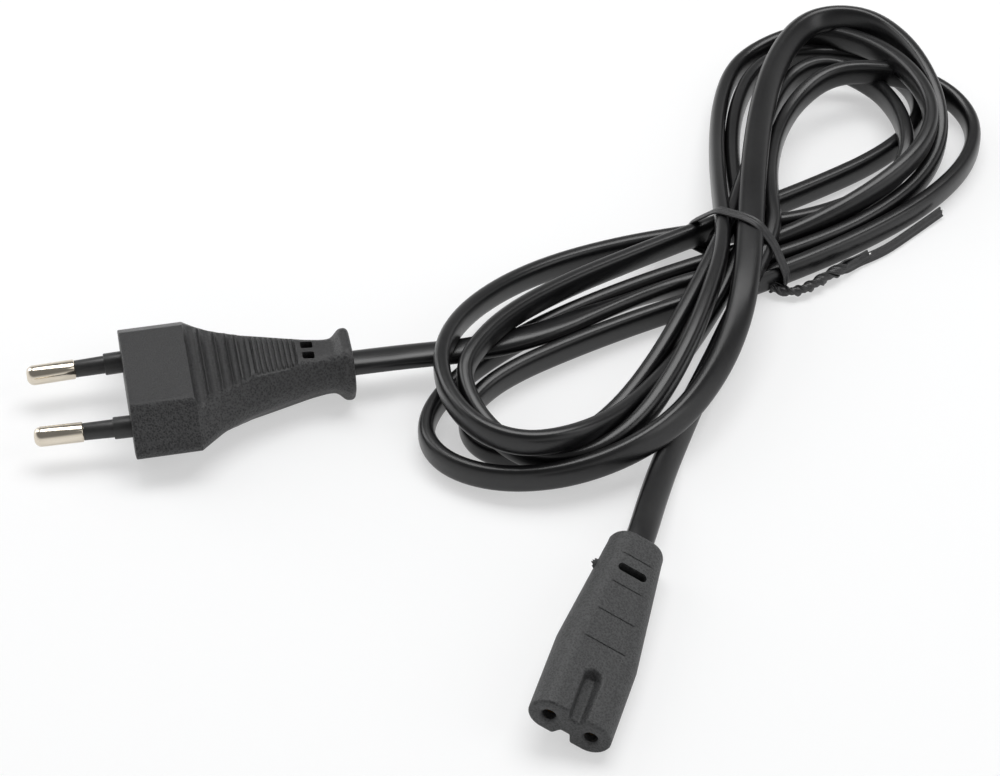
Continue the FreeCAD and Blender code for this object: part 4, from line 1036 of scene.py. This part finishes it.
# %% Cut the four windows
WINDOW_AT, WINDOW_OUT = 36.3, 1.5
for side in (1, -1):
    for levels in ((3.4, 7.0), (-7.0, -3.4)):
        window = round_plate("window", 1.2, 0.95, 0.4, levels,
                             lambda x, y, z, side=side: at_plug(WINDOW_AT + x, side * WINDOW_OUT + y, z))
        cut_out(plug, window)
close_piece(plug, "plug_satin", 40)

# %% [markdown]
# ## The neck's fine ribs
#
# Beyond the grip the neck is ribbed so that it bends evenly: eight thin ribs that get smaller
# towards the cord. One rib is drawn once, as a wire outline of the neck, and Geometry Nodes does
# the rest: it gives the wire a round body, sets copies on a row of points and scales each copy.
# That is less work than eight drawn ribs, and the count, the pitch and the taper stay inputs that
# can be changed. The result is made real and turned into a plain mesh at the end.

# %% Node tree for the ribs
rib_tree = bpy.data.node_groups.new("neck_ribs", "GeometryNodeTree")
rib_tree.interface.new_socket("Outline", in_out="INPUT", socket_type="NodeSocketGeometry")
RIB_INPUTS = [
    ("Count", "NodeSocketInt"), ("Pitch", "NodeSocketFloat"), ("Rib radius", "NodeSocketFloat"),
    ("Last width", "NodeSocketFloat"), ("Last height", "NodeSocketFloat"), ("Finish", "NodeSocketMaterial"),
]
for title, kind in RIB_INPUTS:
    rib_tree.interface.new_socket(title, in_out="INPUT", socket_type=kind)
rib_tree.interface.new_socket("Ribs", in_out="OUTPUT", socket_type="NodeSocketGeometry")
given, put = new_node(rib_tree, "NodeGroupInput"), new_node(rib_tree, "NodeGroupOutput")
wire = new_node(rib_tree, "GeometryNodeMeshToCurve")
round_wire = new_node(rib_tree, "GeometryNodeCurvePrimitiveCircle", {"Resolution": 10})
body = new_node(rib_tree, "GeometryNodeCurveToMesh")
row = new_node(rib_tree, "GeometryNodeMeshLine")
step = new_node(rib_tree, "ShaderNodeCombineXYZ")
place = new_node(rib_tree, "GeometryNodeInstanceOnPoints")
number = new_node(rib_tree, "GeometryNodeInputIndex")
last = new_node(rib_tree, "ShaderNodeMath", {1: 1}, operation="SUBTRACT")
size = new_node(rib_tree, "ShaderNodeCombineXYZ", {"X": 1})
real = new_node(rib_tree, "GeometryNodeRealizeInstances")
dress = new_node(rib_tree, "GeometryNodeSetMaterial")
print("rib tree takes", [title for title, kind in RIB_INPUTS])

# %% Wire the rib tree up
link = rib_tree.links.new
link(given.outputs["Outline"], wire.inputs["Mesh"])
link(wire.outputs["Curve"], body.inputs["Curve"])
link(given.outputs["Rib radius"], round_wire.inputs["Radius"])
link(round_wire.outputs["Curve"], body.inputs["Profile Curve"])
link(given.outputs["Count"], row.inputs["Count"])
link(given.outputs["Pitch"], step.inputs["X"])
link(step.outputs[0], row.inputs["Offset"])
link(given.outputs["Count"], last.inputs[0])
for title, axis in (("Last width", "Y"), ("Last height", "Z")):
    taper = new_node(rib_tree, "ShaderNodeMapRange", {"To Min": 1})
    link(number.outputs[0], taper.inputs["Value"])
    link(last.outputs[0], taper.inputs["From Max"])
    link(given.outputs[title], taper.inputs["To Max"])
    link(taper.outputs["Result"], size.inputs[axis])
link(row.outputs["Mesh"], place.inputs["Points"])
link(body.outputs["Mesh"], place.inputs["Instance"])
link(size.outputs[0], place.inputs["Scale"])
link(place.outputs["Instances"], real.inputs["Geometry"])
link(real.outputs["Geometry"], dress.inputs["Geometry"])
link(given.outputs["Finish"], dress.inputs["Material"])
link(dress.outputs["Geometry"], put.inputs["Ribs"])
print("rib tree has", len(rib_tree.nodes), "nodes")

# %% Draw one rib
RIB_COUNT, RIB_PITCH, RIB_ROUND, FIRST_RIB = 8, 1.02, 0.34, 26.01
SUNK_IN = 0.22
_, first_rim, first_high, _ = plug_sizes(FIRST_RIB)
_, last_rim, last_high, _ = plug_sizes(FIRST_RIB + RIB_PITCH * (RIB_COUNT - 1))
outline = [(0, y * (first_rim - RIB_ROUND - SUNK_IN) / first_rim * MM,
            z * (first_high - RIB_ROUND) / first_high * MM) for y, z in plug_section(FIRST_RIB)]
wire_mesh = bpy.data.meshes.new("rib_outline")
wire_mesh.from_pydata(outline, [(i, (i + 1) % len(outline)) for i in range(len(outline))], [])
rib_maker = bpy.data.objects.new("rib_maker", wire_mesh)
scene.collection.objects.link(rib_maker)
print("rib outline has", len(outline), "points")

# %% Let the tree repeat it
maker = rib_maker.modifiers.new("ribs", "NODES")
maker.node_group = rib_tree
values = {"Count": RIB_COUNT, "Pitch": RIB_PITCH * MM, "Rib radius": RIB_ROUND * MM,
          "Last width": last_rim / first_rim, "Last height": (last_high - RIB_ROUND) / (first_high - RIB_ROUND),
          "Finish": FINISHES["plug_satin"]}
for item in rib_tree.interface.items_tree:
    if item.in_out == "INPUT" and item.name in values:
        maker[item.identifier] = values[item.name]
rib_maker.update_tag()
rib_mesh = finished_mesh(rib_maker)
bpy.data.objects.remove(rib_maker)
rib_mesh.transform(Matrix.Translation(Vector(PLUG_FACE) * MM) @ Matrix.Rotation(PLUG_YAW, 4, "Z")
                   @ Matrix.Translation((FIRST_RIB * MM, 0, 0)))
ribs = bpy.data.objects.new("neck_ribs", rib_mesh)
scene.collection.objects.link(ribs)
close_piece(ribs, "plug_satin", 60)

# %% Gate mark on the collar
# along and out, for a small bump that is then stretched on the collar's side
GATE = [(-0.6, 0.02), (-0.55, 0.3), (-0.3, 0.45), (0.0, 0.5), (0.4, 0.44), (0.62, 0.3), (0.68, 0.02)]
gate = lathe("gate_mark", GATE, lambda s, a, b: at_plug(44.2 + a * 1.2, 6.7 + s * 1.6, 1.5 + b * 1.2), 16)
close_piece(gate, "plug_satin", 80)

# %% [markdown]
# ## Pins and sleeves
#
# Each pin is a nickel-plated bar with a domed tip, and its root is sleeved so that no bare metal
# shows while the plug is half in. Both are turned pieces, so both are lathed from a short profile:
# along the pin and out from its line. The pins lean towards each other by less than two degrees,
# which makes them grip in a socket.

# %% Where a pin lies
PIN_TILT = math.radians(1.658)
PIN_OUT = 9.3


def pin_place(side):
    """Function that puts (along, across, up) on the pin of one side."""
    lean = side * PIN_TILT

    def on_pin(s, a, b):
        return at_plug(-s * math.cos(PIN_TILT) - a * math.sin(lean),
                       side * PIN_OUT - s * math.sin(lean) + a * math.cos(PIN_TILT), b)
    return on_pin


def cad_pin_at(place):
    """Name of the CAD's pin whose middle is nearest to a place in mm."""
    def distance(name):
        verts = nodes[name].data.vertices
        return (sum((v.co for v in verts), Vector()) / len(verts) - Vector(place) * MM).length
    return min(("pin_left", "pin_right"), key=distance)


print("pin of one side is the CAD's", cad_pin_at(pin_place(1)(5, 0, 0)))

# %% Lathe the pins and sleeves
SLEEVE_END, PIN_END, PIN_ROUND = 9.5, 19.0, 2.0
TIP_LONG, TIP_FLAT = 1.5, 0.6
BAR = [(-8.0, 0.02), (-8.0, 1.25), (SLEEVE_END - 0.1, 1.25), (SLEEVE_END - 0.1, 1.8),
       (SLEEVE_END + 0.02, 1.93), (SLEEVE_END + 0.12, PIN_ROUND)]
BAR += [(PIN_END - TIP_LONG + TIP_LONG * math.sin(t), TIP_FLAT + (PIN_ROUND - TIP_FLAT) * math.cos(t))
        for t in np.linspace(0, math.pi / 2, 10)]
BAR += [(PIN_END, 0.02)]
COAT = [(-1.0, 0.02), (-1.0, 2.2), (3.3, 2.2), (3.5, 2.12), (3.5, 1.86), (3.56, 1.8),
        (SLEEVE_END - 0.25, 1.72), (SLEEVE_END - 0.12, 1.66), (SLEEVE_END - 0.1, 0.02)]
pin_pieces = {}
for side in (1, -1):
    on_pin = pin_place(side)
    node = cad_pin_at(on_pin(5, 0, 0))
    pin = close_piece(lathe("nickel_" + node, BAR, on_pin, 64), "pin_plate", 40)
    sleeve = close_piece(lathe("sleeve_" + node, COAT, on_pin, 64), "sleeve_smooth", 40)
    pin_pieces[node] = (pin, sleeve)
print("pins", {k: [o.name for o in v] for k, v in pin_pieces.items()})

# %% [markdown]
# ## The tie
#
# A flat strip of ribbed plastic with a wire inside goes once round the crossing. Its two ends are
# twisted round each other at the right and lie on the sheet. Where the strip goes follows from what
# it holds: the turns that pass through the tie's plane are found, a tight outline is drawn round
# them, and the strip runs on that outline. The twist is a helix with the two strips face to face.

# %% Outline round the bundle
TIE_AT = Vector((-1.8, 111.1, 0))
TIE_TURN = math.radians(-20)
TIE_ACROSS = Vector((math.cos(TIE_TURN), math.sin(TIE_TURN), 0))
TIE_AHEAD = Vector((-TIE_ACROSS.y, TIE_ACROSS.x, 0))
STRIP_HALF, STRIP_THICK = 1.15, 0.75
BUNDLE_HALF = 14
grow = CORD_THIN / 2 + STRIP_THICK / 2 + 0.02
rims = []
for a, b, (wide, _) in zip(path, path[1:], ring_frames(path, turns)):
    before, after = (a / MM - TIE_AT).dot(TIE_AHEAD), (b / MM - TIE_AT).dot(TIE_AHEAD)
    middle = a.lerp(b, 0.5) / MM
    if before * after <= 0 and abs((middle - TIE_AT).dot(TIE_ACROSS)) < BUNDLE_HALF:
        for way in (1, -1):
            core = middle + wide * (CORE_OUT * way)
            for k in range(24):
                t = 2 * math.pi * k / 24
                rims.append(((core - TIE_AT).dot(TIE_ACROSS) + grow * math.cos(t), core.z + grow * math.sin(t)))
print("turns in the tie", len(rims) // 48)

# %% Helper for a tight outline
def tight_outline(points):
    """Convex outline, going round from the right over the top."""
    points = sorted(set(points))
    halves = []
    for run in (points, points[::-1]):
        half = []
        for p in run:
            while len(half) > 1 and ((half[-1][0] - half[-2][0]) * (p[1] - half[-2][1])
                                     - (half[-1][1] - half[-2][1]) * (p[0] - half[-2][0])) <= 0:
                half.pop()
            half.append(p)
        halves += half[:-1]
    return halves


# %% Draw it tight
LOWEST_BAND = STRIP_THICK / 2 + 0.1
BAND_GAP = 0.8
BAND_PLACES = 44
hull = [(e, max(z, LOWEST_BAND)) for e, z in tight_outline(rims)]
right = max(range(len(hull)), key=lambda i: hull[i][0] - 0.5 * hull[i][1])
hull = hull[right:] + hull[:right + 1]
runs = np.concatenate([[0], np.cumsum([math.dist(a, b) for a, b in zip(hull, hull[1:])])])
loop = []
for s in np.linspace(BAND_GAP, runs[-1] - BAND_GAP, BAND_PLACES):
    loop.append((float(np.interp(s, runs, [p[0] for p in hull])), float(np.interp(s, runs, [p[1] for p in hull]))))
band = [(TIE_AT + TIE_ACROSS * e + Vector((0, 0, z)), TIE_AHEAD) for e, z in loop]
heights = [z for e, z in loop]
print("band goes %.1f mm round, from z %.1f to %.1f" % (runs[-1], min(heights), max(heights)))

# %% Twist and tails
AXIS = [(6.2, 105.6, 1.8), (9.2, 105.0, 1.8), (12.3, 106.1, 1.8),
        (14.8, 109.1, 1.85), (17.2, 113.0, 1.9), (19.6, 116.0, 1.9)]
TAIL = [(21.8, 118.9, 1.5), (24.4, 121.9, 1.3), (27.0, 125.2, 1.3),
        (30.0, 130.5, 1.3), (33.0, 135.8, 1.35), (35.4, 139.9, 1.6)]
STUB = [(21.4, 118.7, 1.5), (23.6, 121.2, 2.1)]
TWIST_TURNS = 2.5


def twisted(phase):
    """One strip of the twist: places and wide directions along the axis."""
    axis = spline_points(AXIS, 10)
    strand = []
    for i, p in enumerate(axis):
        ahead = (axis[min(i + 1, len(axis) - 1)] - axis[max(i - 1, 0)]).normalized()
        side = Vector((0, 0, 1)).cross(ahead).normalized()
        up = ahead.cross(side)
        t = i / (len(axis) - 1)
        a = phase + 2 * math.pi * TWIST_TURNS * t
        out = side * math.cos(a) + up * math.sin(a)
        strand.append((p + out * (0.42 + 0.25 * t), up * math.cos(a) - side * math.sin(a)))
    return strand


print("twist has", len(twisted(0.0)), "places")

# %% Helpers for the strip
def tail_rows(points):
    """Places of a loose end, with the strip standing a little askew."""
    rows = []
    for i, p in enumerate(points):
        q = points[min(i + 1, len(points) - 1)]
        o = points[max(i - 1, 0)]
        ahead = Vector((q[0] - o[0], q[1] - o[1], 0)).normalized()
        rows.append((Vector(p), Vector((-0.5 * ahead.y, 0.5 * ahead.x, 1.0))))
    return rows


def turn_alike(rows):
    """Flip wide directions where needed, so that the strip never turns over in one step."""
    out = [rows[0]]
    for p, w in rows[1:]:
        out.append((p, w if w.dot(out[-1][1]) >= 0 else -w))
    return out


# %% Strip from tail to tail
strip_rows = tail_rows(TAIL)[::-1] + twisted(0.0)[::-1] + band + twisted(math.pi) + tail_rows(STUB)
strip_rows = turn_alike(strip_rows)
strip_line = spline_points([tuple(p) for p, _ in strip_rows], 3)
at_rows = range(len(strip_rows))
strip_wide = []
for s in np.linspace(0, len(strip_rows) - 1, len(strip_line)):
    strip_wide.append(Vector([float(np.interp(s, at_rows, [w[k] for _, w in strip_rows])) for k in range(3)]))
print("strip", len(strip_line), "rings")

# %% Sections of the strip
def strip_outline(count=30):
    """Flat section with three low ribs on each face: across the thin way and the wide way, in mm."""
    outline = []
    for face in (1, -1):
        for k in range(count // 2):
            u = -face * math.cos(math.pi * k / (count // 2 - 1)) * STRIP_HALF
            body = math.sqrt(max(1 - (u / STRIP_HALF) ** 6, 0))
            rib = 0.24 + 0.135 * math.cos(math.pi * 2.0 * u / STRIP_HALF)
            outline.append((face * body * rib, u))
    return outline


LOWEST_SKIN = 0.03


def strip_mesh(name, line, wides, outline):
    """Closed skin of one section along a line in mm, kept off the sheet."""
    rings = []
    for i, p in enumerate(line):
        ahead = (line[min(i + 1, len(line) - 1)] - line[max(i - 1, 0)]).normalized()
        wide = (wides[i] - ahead * wides[i].dot(ahead)).normalized()
        thin = ahead.cross(wide)
        corners = [p + thin * a + wide * b for a, b in outline]
        rings.append([(q.x, q.y, max(q.z, LOWEST_SKIN)) for q in corners])
    return rings_to_mesh(name, rings)


# %% Ribbed skin and wire of the tie
tie = close_piece(strip_mesh("tie_strip", strip_line, strip_wide, strip_outline()), "tie_coat", 60)
WIRE_ROUND, WIRE_PAST = 0.2, 0.5
wire_start = strip_line[0] + (strip_line[0] - strip_line[1]).normalized() * WIRE_PAST
wire_stop = strip_line[-1] + (strip_line[-1] - strip_line[-2]).normalized() * WIRE_PAST
wire_line = [wire_start] + strip_line + [wire_stop]
wire_wide = [strip_wide[0]] + strip_wide + [strip_wide[-1]]
wire_outline = [(WIRE_ROUND * math.cos(2 * math.pi * k / 10), WIRE_ROUND * math.sin(2 * math.pi * k / 10))
                for k in range(10)]
wire_core = close_piece(strip_mesh("tie_core", wire_line, wire_wide, wire_outline), "tie_steel", 60)

# %% [markdown]
# ## Hand the pieces over
#
# Every piece rides on the one body, because nothing here moves. A piece that stands for a CAD node
# replaces it, and that node is hidden.

# %% Ride and replace the CAD nodes
hand_over = [
    (cord, ("cord_lead_connector", "cord_hank", "cord_lead_plug"), "cord_pvc"),
    (connector, ("connector_body",), "connector_pvc"),
    (flash, (), "connector_pvc"),
    (plug, ("plug_body",), "plug_pvc"),
    (ribs, (), "plug_pvc"),
    (gate, (), "plug_pvc"),
    (tie, ("tie_coating",), "tie_plastic"),
    (wire_core, ("tie_wire",), "tie_steel"),
]
for node, (pin, sleeve) in pin_pieces.items():
    hand_over.append((pin, (node,), "pin_nickel"))
    hand_over.append((sleeve, (node.replace("pin_", "pin_sleeve_"),), "sleeve_plastic"))
for obj, stands_for, slot_name in hand_over:
    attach(obj, "root")
    if stands_for:
        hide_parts(*stands_for)
print("handed over", [o.name for o, _, _ in hand_over])

on_the_end = [plug, ribs, gate] + [o for pair in pin_pieces.values() for o in pair]
on_the_end += [nodes[name] for name in ("plug_bridge", "plug_core_left", "plug_core_right",
                                        "plug_strands_left", "plug_strands_right")]
